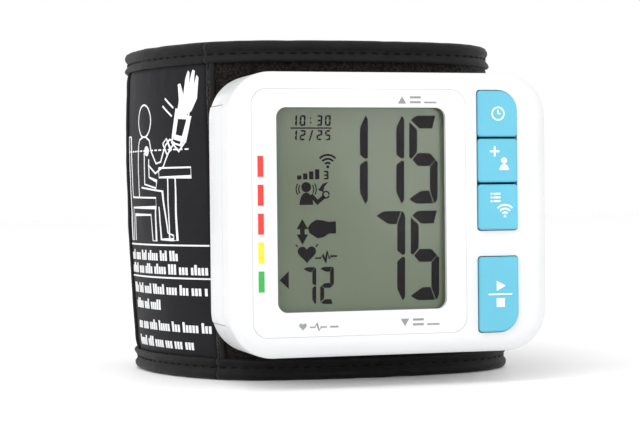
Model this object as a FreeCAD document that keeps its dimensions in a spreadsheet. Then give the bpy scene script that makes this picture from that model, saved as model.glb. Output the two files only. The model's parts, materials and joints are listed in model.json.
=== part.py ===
import FreeCAD, Part
import math
import os
import re

# Wrist blood pressure monitor on its cuff, in millimetres.
# +Z is up, the display faces -Y and +X is to the right of someone reading it.
# The cuff stands on its lower edge, at z = 0, and the origin is under the middle of the box.

Vector = FreeCAD.Vector
doc = FreeCAD.newDocument("wrist_monitor")

# ---------------------------------------------------------------- driving dimensions

DIMENSIONS = {
    # monitor housing
    "case_width": 75.9, "case_height": 64.6, "case_corner": 10.0, "case_rim": 3.6,
    "case_wall": 1.8, "back_wall": 2.4, "case_seam": 13.0, "case_back": 24.6, "seam_gap": 0.2,
    "case_x": 1.98, "case_z": 39.7, "face_y": -51.42,
    # display
    "bezel_x": -8.05, "bezel_z": 0.4, "bezel_width": 50.5, "bezel_height": 55.6, "bezel_depth": 1.2,
    "bezel_corner": 3.5, "window_x": -7.58, "window_z": 1.1, "window_width": 40.05,
    "window_height": 46.0, "window_corner": 2.3, "lens_depth": 1.0,
    "glass_depth": 1.6, "backlight_depth": 1.6, "display_wall": 1.5,
    "scale_mark_x": -31.35, "scale_mark_width": 1.3, "scale_mark_height": 4.65,
    "scale_mark_pitch": 6.43, "scale_mark_z": -1.95, "scale_mark_proud": 0.12,
    # buttons
    "button_x": 24.95, "button_width": 9.6, "button_proud": 0.9, "button_gap": 0.45,
    "button_clearance": 0.2, "button_flange": 0.9,
    "clock_height": 10.6, "user_height": 10.05, "memory_height": 10.5, "start_height": 17.3,
    "button_top": 28.0, "start_gap": 6.2, "button_outer_corner": 4.6,
    "button_corner": 0.8, "button_edge": 0.5, "button_travel": 0.7, "stem_radius": 1.6,
    "flange_relief": 7.6,
    # board and what it carries
    "board_y": 8.2, "board_depth": 1.4, "board_width": 66.0, "board_height": 54.0,
    "board_corner": 8.0, "switch_side": 4.6, "switch_depth": 1.7,
    "board_screw_radius": 1.1, "board_post_wall": 0.6, "board_screw_x": 16.6,
    "board_screw_z": 25.0, "sensor_depth": 2.6, "sensor_port": 0.9,
    # batteries
    "cell_radius": 5.25, "cell_length": 43.7, "cell_nub_radius": 1.9, "cell_nub": 0.8,
    "cell_y": 15.9, "cell_x": -29.8, "cell_pitch": 11.0, "cell_clearance": 0.4,
    "tray_wall": 0.45, "bay_spare": 4.6, "coil_radius": 3.6, "coil_wire": 0.3,
    "contact_side": 8.0, "contact_depth": 0.5,
    "door_height": 50.0, "door_depth": 12.4, "door_clearance": 0.15, "door_reach": 4.0,
    "rib_depth": 6.0, "rib_height": 0.8, "rib_spread": 18.0,
    # air parts
    "air_x": 3.0, "air_y": 16.6, "air_z": 10.5, "motor_radius": 5.4, "motor_length": 20.0,
    "pump_side": 11.2, "pump_length": 10.0, "pipe_radius": 1.5, "pipe_bore": 0.7,
    "hose_radius": 2.2, "hub_radius": 2.6, "hose_length": 5.0,
    "valve_side": 10.0, "valve_length": 15.0, "valve_x": 16.0, "nipple_flange": 5.0,
    # cuff loop, outer face, seen from above
    "loop_front_y": 24.0, "loop_crown_x": 0.0, "front_radius": 106.0,
    "left_corner_radius": 23.0, "left_side_radius": 57.0,
    "right_corner_radius": 24.0, "right_side_radius": 57.0, "right_back_radius": 25.0,
    "back_radius": 90.7, "loop_depth": 79.25, "lap_offset": 3.8,
    "shallow_turn": 12.5, "left_turn": 55.4, "right_turn": 74.0, "back_turn": 165.0,
    "seam_turn": 48.0, "seam_half_gap": 0.4, "right_tip_turn": 187.0,
    "tail_tip_turn": 134.0, "tail_root_turn": 195.0, "tail_half_gap": 0.1,
    # cuff layers
    "cuff_height": 81.0, "fabric": 1.1, "stiffener": 0.9, "bladder": 1.4, "lining": 1.0,
    "layer_margin": 0.9, "inner_margin": 8.0, "binding_lip": 0.5, "binding_height": 5.2,
    "seam_strip_proud": 0.5, "seam_strip_turn": 3.6, "hook_depth": 0.7,
    "tail_fabric": 1.2, "tail_lining": 1.1, "tail_lip": 0.4,
    "panel_end_turn": 97.0, "panel_strip_turn": 2.5, "hook_tip_turn": 3.0, "hook_root_turn": 10.0,
    "hook_margin": 2.0,
    # screws
    "mount_half_width": 10.0, "mount_half_height": 18.0,
    "screw_radius": 1.1, "screw_head": 1.8, "screw_head_depth": 0.6, "screw_length": 4.4,
    "case_screw_inset": 5.45, "case_screw_rise": 4.0, "post_wall": 0.4,
}

sheet = doc.addObject("Spreadsheet::Sheet", "dims")
for row, (alias, number) in enumerate(DIMENSIONS.items(), start=1):
    sheet.set(f"A{row}", alias)
    sheet.set(f"B{row}", str(number))
    sheet.setAlias(f"B{row}", alias)
doc.recompute()


def size(text):
    """The value of an expression in the sheet's aliases."""
    return float(sheet.evalExpression(with_sheet(text)))


def with_sheet(text):
    """Put the sheet's name before every alias in an expression."""
    def prefix(match):
        word = match.group(0)
        return "dims." + word if word in DIMENSIONS else word
    return re.sub(r"[a-z_][a-z_0-9]*", prefix, str(text))


def bind(thing, **properties):
    """Bind properties to expressions; a double underscore stands for a dot."""
    for name, text in properties.items():
        thing.setExpression(name.replace("__", "."), with_sheet(text))


def place(thing, at):
    bind(thing, Placement__Base__x=at[0], Placement__Base__y=at[1], Placement__Base__z=at[2])


# ---------------------------------------------------------------- building blocks

nodes = []


def new_body(label):
    body = doc.addObject("PartDesign::Body", label)
    body.Label = label
    nodes.append(body)
    return body


def block(body, name, centre, sides, cut=False):
    """A box in a body: centre in x and z, front face in y, sides as expressions."""
    kind = "PartDesign::SubtractiveBox" if cut else "PartDesign::AdditiveBox"
    box = body.newObject(kind, name)
    bind(box, Length=sides[0], Width=sides[1], Height=sides[2])
    corner = (f"{centre[0]} - ({sides[0]}) / 2", centre[1], f"{centre[2]} - ({sides[2]}) / 2")
    place(box, corner)
    doc.recompute()
    return box


TURN_TO = {
    "x": FreeCAD.Rotation(Vector(0, 1, 0), 90),
    "y": FreeCAD.Rotation(Vector(1, 0, 0), -90),
    "z": FreeCAD.Rotation(),
}


def rod(body, name, axis, start, radius, length, cut=False):
    """A cylinder in a body, from start, along an axis."""
    kind = "PartDesign::SubtractiveCylinder" if cut else "PartDesign::AdditiveCylinder"
    cylinder = body.newObject(kind, name)
    cylinder.Placement = FreeCAD.Placement(Vector(), TURN_TO[axis])
    bind(cylinder, Radius=radius, Height=length)
    place(cylinder, start)
    doc.recompute()
    return cylinder


def fillet(body, base, radius, wanted, name):
    """Round the edges of a feature that pass a test."""
    edges = [f"Edge{i}" for i, edge in enumerate(base.Shape.Edges, start=1) if wanted(edge)]
    round_off = body.newObject("PartDesign::Fillet", name)
    round_off.Base = (base, edges)
    bind(round_off, Radius=radius)
    doc.recompute()
    return round_off


def along_y(edge):
    box = edge.BoundBox
    return box.XLength < 1e-6 and box.ZLength < 1e-6


def at_y(position):
    """A test for edges that lie in the plane y = position."""
    def wanted(edge):
        box = edge.BoundBox
        return box.YLength < 1e-6 and abs(box.YMin - position) < 1e-5
    return wanted


def plate(body, name, centre, sides, corner):
    """A plate that faces -Y, with its four corners rounded."""
    slab = block(body, name, centre, sides)
    return fillet(body, slab, corner, along_y, name + "_corners")


def rounded_sketch(body, name, centre, sides, corner, y, own_corner=None):
    """A rounded rectangle in the plane y. own_corner is (signs, radius) for one other corner."""
    sketch = body.newObject("Sketcher::SketchObject", name)
    support = [f for f in body.Origin.OriginFeatures if f.Role == "XZ_Plane"][0]
    sketch.AttachmentSupport = [(support, "")]
    sketch.MapMode = "FlatFace"
    bind(sketch, AttachmentOffset__Base__x=centre[0], AttachmentOffset__Base__y=centre[1],
         AttachmentOffset__Base__z=f"0 - ({y})")
    half_x = size(sides[0]) / 2
    half_z = size(sides[1]) / 2
    ends = []
    for quarter, signs in enumerate([(1, 1), (-1, 1), (-1, -1), (1, -1)]):
        r = size(own_corner[1] if own_corner and own_corner[0] == signs else corner)
        middle = Vector(signs[0] * (half_x - r), signs[1] * (half_z - r), 0)
        circle = Part.Circle(middle, Vector(0, 0, 1), r)
        turn = math.pi / 2 * quarter
        arc = Part.ArcOfCircle(circle, turn, turn + math.pi / 2)
        sketch.addGeometry(arc)
        ends.append((arc.StartPoint, arc.EndPoint))
    for quarter in range(4):
        sketch.addGeometry(Part.LineSegment(ends[quarter][1], ends[(quarter + 1) % 4][0]))
    doc.recompute()
    return sketch


def pocket(body, name, sketch, depth):
    """Cut a sketch in the plane y into the solid behind it."""
    before = body.Shape.Volume
    cut = body.newObject("PartDesign::Pocket", name)
    cut.Profile = sketch
    bind(cut, Length=depth)
    doc.recompute()
    if body.Shape.Volume > before - 1e-3:
        cut.Reversed = True
        doc.recompute()
    assert body.Shape.Volume < before - 1e-3, name + " cuts nothing"
    return cut


def opening(body, name, centre, sides, corner, y, depth, own_corner=None):
    sketch = rounded_sketch(body, name + "_shape", centre, sides, corner, y, own_corner)
    return pocket(body, name, sketch, depth)


def screw(label, start, direction, length):
    """A round-head screw from its head's outer face, along +Y (1) or -Y (-1)."""
    head = doc.addObject("Part::Cylinder", label + "_head")
    shank = doc.addObject("Part::Cylinder", label + "_shank")
    slot = doc.addObject("Part::Box", label + "_slot")
    for cylinder in (head, shank):
        cylinder.Placement = FreeCAD.Placement(Vector(), FreeCAD.Rotation(Vector(1, 0, 0), -90 * direction))
    bind(head, Radius="screw_head", Height="screw_head_depth")
    bind(shank, Radius="screw_radius", Height=length)
    bind(slot, Length="screw_head * 1.5", Width="screw_head_depth / 2", Height="screw_head / 4")
    place(head, start)
    place(shank, start)
    slot_back = "0" if direction > 0 else "screw_head_depth / 2"
    place(slot, (f"{start[0]} - screw_head * 0.75", f"{start[1]} - {slot_back}",
                 f"{start[2]} - screw_head / 8"))
    joined = doc.addObject("Part::Fuse", label + "_blank")
    joined.Base = head
    joined.Tool = shank
    slotted = doc.addObject("Part::Cut", label)
    slotted.Base = joined
    slotted.Tool = slot
    return slotted


def group(label, pieces):
    """Separate solids that share one node."""
    compound = doc.addObject("Part::Compound", label)
    compound.Label = label
    compound.Links = pieces
    nodes.append(compound)
    return compound


def case_at(x, z):
    """Expressions for a place on the case, from the middle of its face."""
    return (f"case_x + ({x})", f"case_z + ({z})")


def behind_face(y):
    return f"face_y + ({y})"


# ---------------------------------------------------------------- housing

def front_cover():
    body = new_body("front_cover")
    x, z = case_at(0, 0)
    shell = plate(body, "front_blank", (x, "face_y", z),
                  ("case_width", "case_seam", "case_height"), "case_corner")
    rim = fillet(body, shell, "case_rim", at_y(size("face_y")), "front_rim")
    body.Tip = rim
    inner = ("case_width - 2 * case_wall", "case_height - 2 * case_wall")
    opening(body, "front_hollow", (x, z), inner, "case_corner - case_wall",
            behind_face("case_wall"), "case_seam")
    opening(body, "bezel_seat", case_at("bezel_x", "bezel_z"), ("bezel_width + 0.1", "bezel_height + 0.1"),
            "bezel_corner", "face_y", "bezel_depth")
    opening(body, "display_opening", case_at("window_x", "window_z"),
            ("window_width + 2", "window_height + 2"), "window_corner", "face_y", "case_seam")
    upper = upper_buttons_height()
    wide = "button_width + 2 * button_clearance"
    outer = "button_outer_corner + button_clearance"
    opening(body, "upper_button_opening", case_at("button_x", f"button_top - ({upper}) / 2"),
            (wide, f"{upper} + 2 * button_clearance"), "button_corner", "face_y", "case_seam",
            ((1, 1), outer))
    opening(body, "start_button_opening", case_at("button_x", button_centre(3)),
            (wide, "start_height + 2 * button_clearance"), "button_corner", "face_y", "case_seam",
            ((1, -1), outer))
    door_gap(body)
    for name, side in BOARD_SCREWS:
        at_x, at_z = board_screw_at(side)
        rod(body, "board_post_" + name, "y", (at_x, behind_face("case_wall - 0.1"), at_z),
            "board_screw_radius + board_post_wall", "board_y - case_wall + 0.1")
        rod(body, "board_post_hole_" + name, "y", (at_x, behind_face("case_wall + 0.2"), at_z),
            "board_screw_radius", "board_y", cut=True)
    for name, sx, sz in MOUNT_CORNERS:
        at_x, at_z = case_screw_at(sx, sz)
        rod(body, "case_post_" + name, "y", (at_x, behind_face("case_wall - 0.1"), at_z),
            "screw_head + post_wall", "case_seam - case_wall + 0.1")
        rod(body, "case_post_hole_" + name, "y", (at_x, behind_face("case_wall + 3"), at_z),
            "screw_radius", "case_seam", cut=True)


def door_gap(body):
    """The opening in the left side wall that the battery door closes."""
    block(body, "door_gap", ("case_x - case_width / 2",
                             behind_face("cell_y - door_depth / 2 - door_clearance"), "case_z"),
          ("8", "door_depth + 2 * door_clearance", "door_height + 2 * door_clearance"), cut=True)


def rear_cover():
    body = new_body("rear_cover")
    x, z = case_at(0, 0)
    depth = "case_back - case_seam - seam_gap"
    blank = plate(body, "rear_blank", (x, behind_face("case_seam + seam_gap"), z),
                  ("case_width", depth, "case_height"), "case_corner")
    back_rim = fillet(body, blank, "case_rim", at_y(size("face_y + case_back")), "rear_rim")
    body.Tip = back_rim
    inner = ("case_width - 2 * case_wall", "case_height - 2 * case_wall")
    opening(body, "rear_hollow", (x, z), inner, "case_corner - case_wall",
            behind_face("case_seam + seam_gap"), "case_back - back_wall - case_seam - seam_gap")
    rod(body, "cuff_saddle", "z", ("case_x + loop_crown_x", behind_face("loop_front_y + front_radius"), "0"),
        "front_radius + binding_lip + 0.1", "cuff_height", cut=True)
    door_gap(body)
    hose_x, hose_z = case_at("air_x", "air_z")
    rod(body, "hose_hole", "y", (hose_x, behind_face("case_seam"), hose_z),
        "hose_radius + 0.4", "case_back", cut=True)
    for name, sx, sz in MOUNT_CORNERS:
        at_x, at_z = mount_corner(sx, sz)
        rod(body, "boss_" + name, "y", (at_x, behind_face("case_back - back_wall - 2"), at_z),
            "screw_head + 0.3", "2.2")
        rod(body, "mount_hole_" + name, "y", (at_x, behind_face("case_back - back_wall - 3"), at_z),
            "screw_radius", "back_wall + 4", cut=True)
    for name, sx, sz in MOUNT_CORNERS:
        at_x, at_z = case_screw_at(sx, sz)
        rod(body, "case_post_" + name, "y", (at_x, behind_face("case_seam + seam_gap"), at_z),
            "screw_head + post_wall", "case_back - case_seam - seam_gap - back_wall + 0.1")
        rod(body, "case_hole_" + name, "y", (at_x, behind_face("case_seam"), at_z),
            "screw_radius + 0.1", "case_back", cut=True)
        rod(body, "head_well_" + name, "y", (at_x, behind_face("case_seam + case_screw_rise"), at_z),
            "screw_head + 0.1", "case_back", cut=True)


MOUNT_CORNERS = [("upper_left", -1, 1), ("upper_right", 1, 1),
                 ("lower_left", -1, -1), ("lower_right", 1, -1)]


def mount_corner(sx, sz):
    """A screw that holds the cuff's stiffener to the rear cover."""
    return case_at(f"{sx} * mount_half_width", f"{sz} * mount_half_height")


def case_screw_at(sx, sz):
    """A screw that holds the two covers together."""
    return case_at(f"{sx} * (case_width / 2 - case_screw_inset)",
                   f"{sz} * (case_height / 2 - case_screw_inset)")


def battery_door():
    """The part of the left side wall that closes the battery bay."""
    body = new_body("battery_door")
    x, z = case_at(0, 0)
    plate(body, "door_blank", (x, behind_face("cell_y - door_depth / 2"), z),
          ("case_width", "door_depth", "case_height"), "case_corner")
    opening(body, "door_hollow", (x, z), ("case_width - 2 * case_wall", "case_height - 2 * case_wall"),
            "case_corner - case_wall", behind_face("0"), "case_back + 2")
    right_part = ("case_x + door_reach", behind_face("0"), z)
    block(body, "door_end", right_part, ("case_width", "case_back + 2", "case_height + 2"), cut=True)
    edge = "(case_height - door_height) / 2 + 1"
    for name, side in (("top", 1), ("bottom", -1)):
        centre = f"case_z + {side} * (door_height / 2 + ({edge}) / 2)"
        block(body, "door_" + name, ("case_x - case_width / 2", behind_face("0"), centre),
              ("20", "case_back + 2", edge), cut=True)
    for name, side in (("upper_rib", 1), ("lower_rib", -1)):
        block(body, name, ("case_x - case_width / 2 + case_wall / 2 - 0.3",
                           behind_face("cell_y - rib_depth / 2"), f"case_z + {side} * rib_spread"),
              ("case_wall / 2", "rib_depth", "rib_height"))


# ---------------------------------------------------------------- display

def display():
    body = new_body("display_bezel")
    x, z = case_at("bezel_x", "bezel_z")
    plate(body, "bezel_blank", (x, "face_y", z), ("bezel_width", "bezel_depth - 0.05", "bezel_height"),
          "bezel_corner")
    opening(body, "bezel_window", case_at("window_x", "window_z"), ("window_width", "window_height"),
            "window_corner", "face_y", "bezel_depth")
    x, z = case_at("window_x", "window_z")
    lens_y = "bezel_depth"
    glass_y = "bezel_depth + lens_depth"
    wide = "window_width + 1.4"
    tall = "window_height + 1.4"
    lens = new_body("display_window")
    plate(lens, "lens", (x, behind_face(lens_y), z), (wide, "lens_depth", tall), "window_corner")
    glass = new_body("display_glass")
    plate(glass, "glass", (x, behind_face(glass_y), z), (wide, "glass_depth", tall), "button_corner")
    light = new_body("display_backlight")
    plate(light, "light", (x, behind_face(glass_y + " + glass_depth"), z),
          (wide, "backlight_depth", tall), "button_corner")
    holder = new_body("display_holder")
    holder_depth = "board_y - bezel_depth - lens_depth - 0.1"
    plate(holder, "holder_blank", (x, behind_face(glass_y), z),
          (f"{wide} + 2 * display_wall + 0.2", holder_depth, f"{tall} + 2 * display_wall + 0.2"),
          "window_corner")
    opening(holder, "holder_hollow", (x, z), (f"{wide} + 0.2", f"{tall} + 0.2"), "button_corner",
            "face_y", "case_seam")
    strip = new_body("display_connector")
    block(strip, "strip", (x, behind_face(glass_y + " + glass_depth + backlight_depth"),
          f"{z} - window_height / 2 + 1.5"), ("window_width - 4", "board_y - bezel_depth - lens_depth"
          " - glass_depth - backlight_depth", "2"))


def scale_mark(label, row):
    """One printed mark beside the display, counted in pitches from the middle one."""
    mark = doc.addObject("Part::Box", label)
    bind(mark, Length="scale_mark_width", Width="scale_mark_proud", Height="scale_mark_height")
    x, z = case_at("scale_mark_x", f"scale_mark_z + {row} * scale_mark_pitch")
    place(mark, (f"{x} - scale_mark_width / 2", behind_face("0 - scale_mark_proud"),
                 f"{z} - scale_mark_height / 2"))
    return mark


def scale_marks():
    """Five printed marks beside the display: three red, one yellow, one green."""
    group("red_marks", [scale_mark(f"red_mark_{row}", row) for row in (2, 1, 0)])
    group("yellow_marks", [scale_mark("yellow_mark", -1)])
    group("green_marks", [scale_mark("green_mark", -2)])


# ---------------------------------------------------------------- buttons

BUTTONS = ["clock", "user", "memory", "start"]


def upper_buttons_height():
    return "clock_height + user_height + memory_height + 2 * button_gap"


def button_centre(index):
    """Height of a button's middle above the middle of the case."""
    above = " - ".join([name + "_height" for name in BUTTONS[:index]] or ["0"])
    gaps = f"{min(index, 2)} * button_gap + {1 if index == 3 else 0} * start_gap"
    return f"(button_top - {above} - ({gaps}) - {BUTTONS[index]}_height / 2)"


def buttons():
    for index, name in enumerate(BUTTONS):
        body = new_body(name + "_button")
        x, z = case_at("button_x", button_centre(index))
        height = name + "_height"
        cap = block(body, name + "_cap", (x, behind_face("0 - button_proud"), z),
                    ("button_width", "button_proud + case_wall + 0.3", height))
        outer = {"clock": 1, "start": -1}.get(name, 0)
        right = size(x) + 1e-3
        middle = size(z)

        def is_outer(edge, outer=outer, right=right, middle=middle):
            box = edge.BoundBox
            return along_y(edge) and box.XMin > right and (box.ZMin - middle) * outer > 0

        def is_inner(edge, test=is_outer):
            return along_y(edge) and not test(edge)

        rounded = fillet(body, cap, "button_corner", is_inner, name + "_corners")
        if outer:
            rounded = fillet(body, rounded, "button_outer_corner", is_outer, name + "_outer_corner")
        front = size("face_y - button_proud")
        rounded = fillet(body, rounded, "button_edge", at_y(front), name + "_edge")
        body.Tip = rounded
        flange_height = f"{height} - flange_relief" if outer else height
        block(body, name + "_flange", (x, behind_face("case_wall + 0.3"), z),
              ("button_width + 2 * button_flange", "button_flange", flange_height))
        rod(body, name + "_stem", "y", (x, behind_face("case_wall + 0.3"), z), "stem_radius",
            "board_y - switch_depth - case_wall - 0.3 - button_travel - 0.1")


# ---------------------------------------------------------------- circuit board

def on_board(label, x, z, sides, corner=None):
    """A part soldered to the back of the board."""
    body = new_body(label)
    at_x, at_z = case_at(x, z)
    centre = (at_x, behind_face("board_y + board_depth"), at_z)
    if corner:
        plate(body, label + "_case", centre, sides, corner)
    else:
        block(body, label + "_case", centre, sides)
    return body


def board():
    body = new_body("main_board")
    x, z = case_at(0, 0)
    plate(body, "board", (x, behind_face("board_y"), z),
          ("board_width", "board_depth", "board_height"), "board_corner")
    for name, side in BOARD_SCREWS:
        at_x, at_z = board_screw_at(side)
        rod(body, "hole_" + name, "y", (at_x, behind_face("board_y - 1"), at_z),
            "board_screw_radius + 0.2", "board_depth + 2", cut=True)
    on_board("processor_chip", "13", "-17", ("9", "1.2", "9"), "0.4")
    on_board("radio_module", "26.8", "20", ("11.4", "1.6", "9"), "0.6")
    buzzer = new_body("buzzer")
    at_x, at_z = case_at("27", "-3")
    rod(buzzer, "buzzer_can", "y", (at_x, behind_face("board_y + board_depth"), at_z), "4.6", "3.2")
    rod(buzzer, "buzzer_hole", "y", (at_x, behind_face("board_y + board_depth + 2.4"), at_z),
        "0.8", "2", cut=True)
    sensor = on_board("pressure_sensor", "air_x", "air_z", ("7", "sensor_depth", "7"), "0.5")
    at_x, at_z = case_at("air_x", "air_z")
    rod(sensor, "sensor_port", "y", (at_x, behind_face("board_y + board_depth + sensor_depth"), at_z),
        "pipe_radius", "sensor_port")
    chips = []
    for index, (sx, sz) in enumerate(SMALL_PARTS):
        chip = doc.addObject("Part::Box", f"small_part_{index + 1}")
        bind(chip, Length="2.6", Width="1.1", Height="1.5")
        at_x, at_z = case_at(sx, sz)
        place(chip, (at_x, behind_face("board_y + board_depth"), at_z))
        chips.append(chip)
    group("board_components", chips)
    switches = []
    for index, name in enumerate(BUTTONS):
        case = doc.addObject("Part::Box", name + "_switch_case")
        bind(case, Length="switch_side", Width="switch_depth - 0.5", Height="switch_side")
        at_x, at_z = case_at("button_x", button_centre(index))
        place(case, (f"{at_x} - switch_side / 2", behind_face("board_y - switch_depth + 0.5"),
                     f"{at_z} - switch_side / 2"))
        plunger = doc.addObject("Part::Cylinder", name + "_switch_plunger")
        plunger.Placement = FreeCAD.Placement(Vector(), TURN_TO["y"])
        bind(plunger, Radius="stem_radius * 0.8", Height="0.6")
        place(plunger, (at_x, behind_face("board_y - switch_depth"), at_z))
        switch = doc.addObject("Part::Fuse", name + "_switch")
        switch.Base = case
        switch.Tool = plunger
        switches.append(switch)
    group("tact_switches", switches)
    screws = []
    for name, side in BOARD_SCREWS:
        at_x, at_z = board_screw_at(side)
        screws.append(screw("board_screw_" + name,
                            (at_x, behind_face("board_y + board_depth + screw_head_depth"), at_z),
                            -1, "screw_head_depth + board_depth + 2.6"))
    group("board_screws", screws)


SMALL_PARTS = [(24, -14), (24, -19), (29, -14), (29, -19), (20, 12), (30, 9)]

BOARD_SCREWS = [("top", 1), ("bottom", -1)]


def board_screw_at(side):
    """A screw between the display and the buttons that holds the board to the front cover."""
    return case_at("board_screw_x", f"{side} * board_screw_z")


# ---------------------------------------------------------------- batteries

def batteries():
    tray = new_body("battery_tray")
    bay_x = "cell_x + cell_pitch / 2"
    inner_width = "cell_pitch + 2 * cell_radius + 0.6"
    bay_height = "cell_length + bay_spare"
    x, z = case_at(bay_x, 0)
    depth = "2 * (cell_radius + cell_clearance)"
    tray_front = "cell_y - cell_radius - cell_clearance"
    block(tray, "tray_blank", (f"{x} + tray_wall / 2", behind_face(tray_front + " - tray_wall"), z),
          (f"{inner_width} + tray_wall", f"{depth} + 2 * tray_wall", f"{bay_height} + 2 * tray_wall"))
    block(tray, "tray_bay", (x, behind_face(tray_front), z),
          (f"{inner_width} + 0.02", depth, bay_height), cut=True)
    for index, label in enumerate(["left_battery", "right_battery"]):
        cell = new_body(label)
        up = 1 - 2 * index
        at_x, at_z = case_at(f"cell_x + {index} * cell_pitch", f"0 - cell_length / 2 - {up} * 0.6")
        rod(cell, label + "_can", "z", (at_x, behind_face("cell_y"), at_z), "cell_radius", "cell_length")
        nub_z = f"({at_z}) + cell_length" if up > 0 else f"({at_z}) - cell_nub"
        rod(cell, label + "_nub", "z", (at_x, behind_face("cell_y"), nub_z), "cell_nub_radius", "cell_nub")
    springs = []
    plates = []
    for index in range(2):
        up = 1 - 2 * index
        at_x, at_z = case_at(f"cell_x + {index} * cell_pitch", "0")
        contact = doc.addObject("Part::Box", f"contact_{index + 1}")
        bind(contact, Length="contact_side", Width="contact_side", Height="contact_depth")
        low = f"{at_z} + {up} * (({bay_height}) / 2 - contact_depth / 2) - contact_depth / 2"
        place(contact, (f"{at_x} - contact_side / 2", behind_face("cell_y - contact_side / 2"), low))
        plates.append(contact)
        springs.append(spring(f"contact_spring_{index + 1}", at_x, at_z, -up, bay_height))
    group("contact_plates", plates)
    group("contact_springs", springs)


def spring(label, x, z, side, bay_height):
    """A conical coil between the bay's end wall and a battery's flat end."""
    room = f"(({bay_height}) - cell_length) / 2 - 0.6 - 2 * coil_wire - 0.04"
    helix = doc.addObject("Part::Helix", label + "_line")
    bind(helix, Pitch=f"({room}) / 3", Height=room, Radius="coil_radius")
    helix.Angle = -60
    helix.SegmentLength = 0.5
    section = doc.addObject("Part::Circle", label + "_section")
    section.Placement = FreeCAD.Placement(Vector(size("coil_radius"), 0, 0),
                                          FreeCAD.Rotation(Vector(1, 0, 0), 90))
    bind(section, Radius="coil_wire")
    coil = doc.addObject("Part::Sweep", label)
    coil.Sections = [section]
    coil.Spine = (helix, ["Edge1"])
    coil.Solid = True
    coil.Frenet = True
    turn = FreeCAD.Rotation(Vector(1, 0, 0), 0 if side < 0 else 180)
    coil.Placement = FreeCAD.Placement(Vector(), turn)
    end = f"{z} + ({side}) * (({bay_height}) / 2 - coil_wire - 0.01)"
    place(coil, (x, behind_face("cell_y"), end))
    doc.recompute()
    return coil


# ---------------------------------------------------------------- air parts

def hose(label, axis, start, length):
    body = new_body(label)
    rod(body, label + "_wall", axis, start, "hose_radius", length)
    rod(body, label + "_bore", axis, start, "pipe_radius", length, cut=True)


def air_system():
    x, z = case_at("air_x", "air_z")
    y = behind_face("air_y")
    joint = new_body("air_joint")
    reach = "hub_radius + 2"
    rod(joint, "joint_hub", "z", (x, y, f"{z} - hub_radius"), "hub_radius", "2 * hub_radius")
    rod(joint, "joint_down", "z", (x, y, f"{z} - ({reach})"), "pipe_radius", reach)
    rod(joint, "joint_right", "x", (x, y, z), "pipe_radius", reach)
    rod(joint, "joint_back", "y", (x, y, z), "pipe_radius", "hub_radius + 2.4")
    front_reach = "air_y - board_y - board_depth - sensor_depth - sensor_port"
    rod(joint, "joint_front", "y", (x, behind_face("board_y + board_depth + sensor_depth + sensor_port"), z),
        "pipe_radius", front_reach)
    rod(joint, "bore_right", "x", (x, y, z), "pipe_bore", "hub_radius + 3", cut=True)
    rod(joint, "bore_back", "y", (x, y, z), "pipe_bore", "hub_radius + 3", cut=True)
    rod(joint, "bore_down", "z", (x, y, f"{z} - hub_radius - 3"), "pipe_bore", "hub_radius + 3", cut=True)
    rod(joint, "bore_front", "y", (x, behind_face("board_y + board_depth + 3"), z), "pipe_bore",
        front_reach + " + 0.6", cut=True)
    hose("sensor_hose", "y", (x, behind_face("board_y + board_depth + sensor_depth"), z),
         "air_y - hub_radius - board_y - board_depth - sensor_depth - 0.1")
    hose("pump_hose", "z", (x, y, f"{z} - hub_radius - hose_length"), "hose_length - 0.1")
    hose("valve_hose", "x", (f"{x} + hub_radius + 0.1", y, z), "valve_x - air_x - hub_radius - 0.2")
    head_top = f"{z} - hub_radius - hose_length"
    head = new_body("pump_head")
    block(head, "head_case", (x, behind_face("air_y - pump_side / 2"),
          f"{head_top} - pump_length / 2"), ("pump_side", "pump_side", "pump_length - 0.1"))
    rod(head, "head_outlet", "z", (x, y, head_top + " - 0.1"), "pipe_radius", "2.1")
    motor = new_body("pump_motor")
    rod(motor, "motor_can", "z", (x, y, f"{head_top} - pump_length - motor_length"),
        "motor_radius", "motor_length")
    rod(motor, "motor_boss", "z", (x, y, f"{head_top} - pump_length - motor_length - 1.2"), "2.2", "1.3")
    valve = new_body("release_valve")
    valve_x = "case_x + valve_x"
    block(valve, "valve_case", (f"{valve_x} + valve_side / 2", behind_face("air_y - valve_side / 2"), z),
          ("valve_side", "valve_side", "valve_length"))
    rod(valve, "valve_inlet", "x", (f"{valve_x} - 2", y, z), "pipe_radius", "2.2")
    flange_y = "loop_front_y + fabric + stiffener"
    hose("cuff_hose", "y", (x, behind_face("air_y + hub_radius + 0.1"), z),
         f"{flange_y} - air_y - hub_radius - 0.9")
    nipple = new_body("bladder_nipple")
    rod(nipple, "nipple_flange", "y", (x, behind_face(f"{flange_y} - 0.4"), z), "nipple_flange", "0.5")
    rod(nipple, "nipple_pipe", "y", (x, behind_face(f"{flange_y} - 3.9"), z), "pipe_radius", "3.3")
    rod(nipple, "nipple_bore", "y", (x, behind_face(f"{flange_y} - 5"), z), "pipe_bore", "7", cut=True)


def cuff_face(sx, depth):
    """How far behind the case's face a depth in the cuff's front is, at a mounting screw."""
    across = f"({sx} * mount_half_width - loop_crown_x)"
    return f"loop_front_y + front_radius - sqrt((front_radius - ({depth})) ^ 2 - {across} ^ 2)"


def fixings():
    """The screws through the cuff's stiffener, and the screws that close the case."""
    mount_screws = []
    for name, sx, sz in MOUNT_CORNERS:
        at_x, at_z = mount_corner(sx, sz)
        head_y = cuff_face(sx, "fabric + stiffener") + " - 0.15"
        mount_screws.append(screw("mount_screw_" + name, (at_x, behind_face(head_y), at_z), -1,
                                  "screw_length"))
    group("mount_screws", mount_screws)
    case_screws = []
    for name, sx, sz in MOUNT_CORNERS:
        at_x, at_z = case_screw_at(sx, sz)
        head_y = behind_face("case_seam + case_screw_rise + screw_head_depth")
        case_screws.append(screw("case_screw_" + name, (at_x, head_y, at_z), -1,
                                 "screw_head_depth + case_screw_rise + screw_length"))
    group("case_screws", case_screws)


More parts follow.
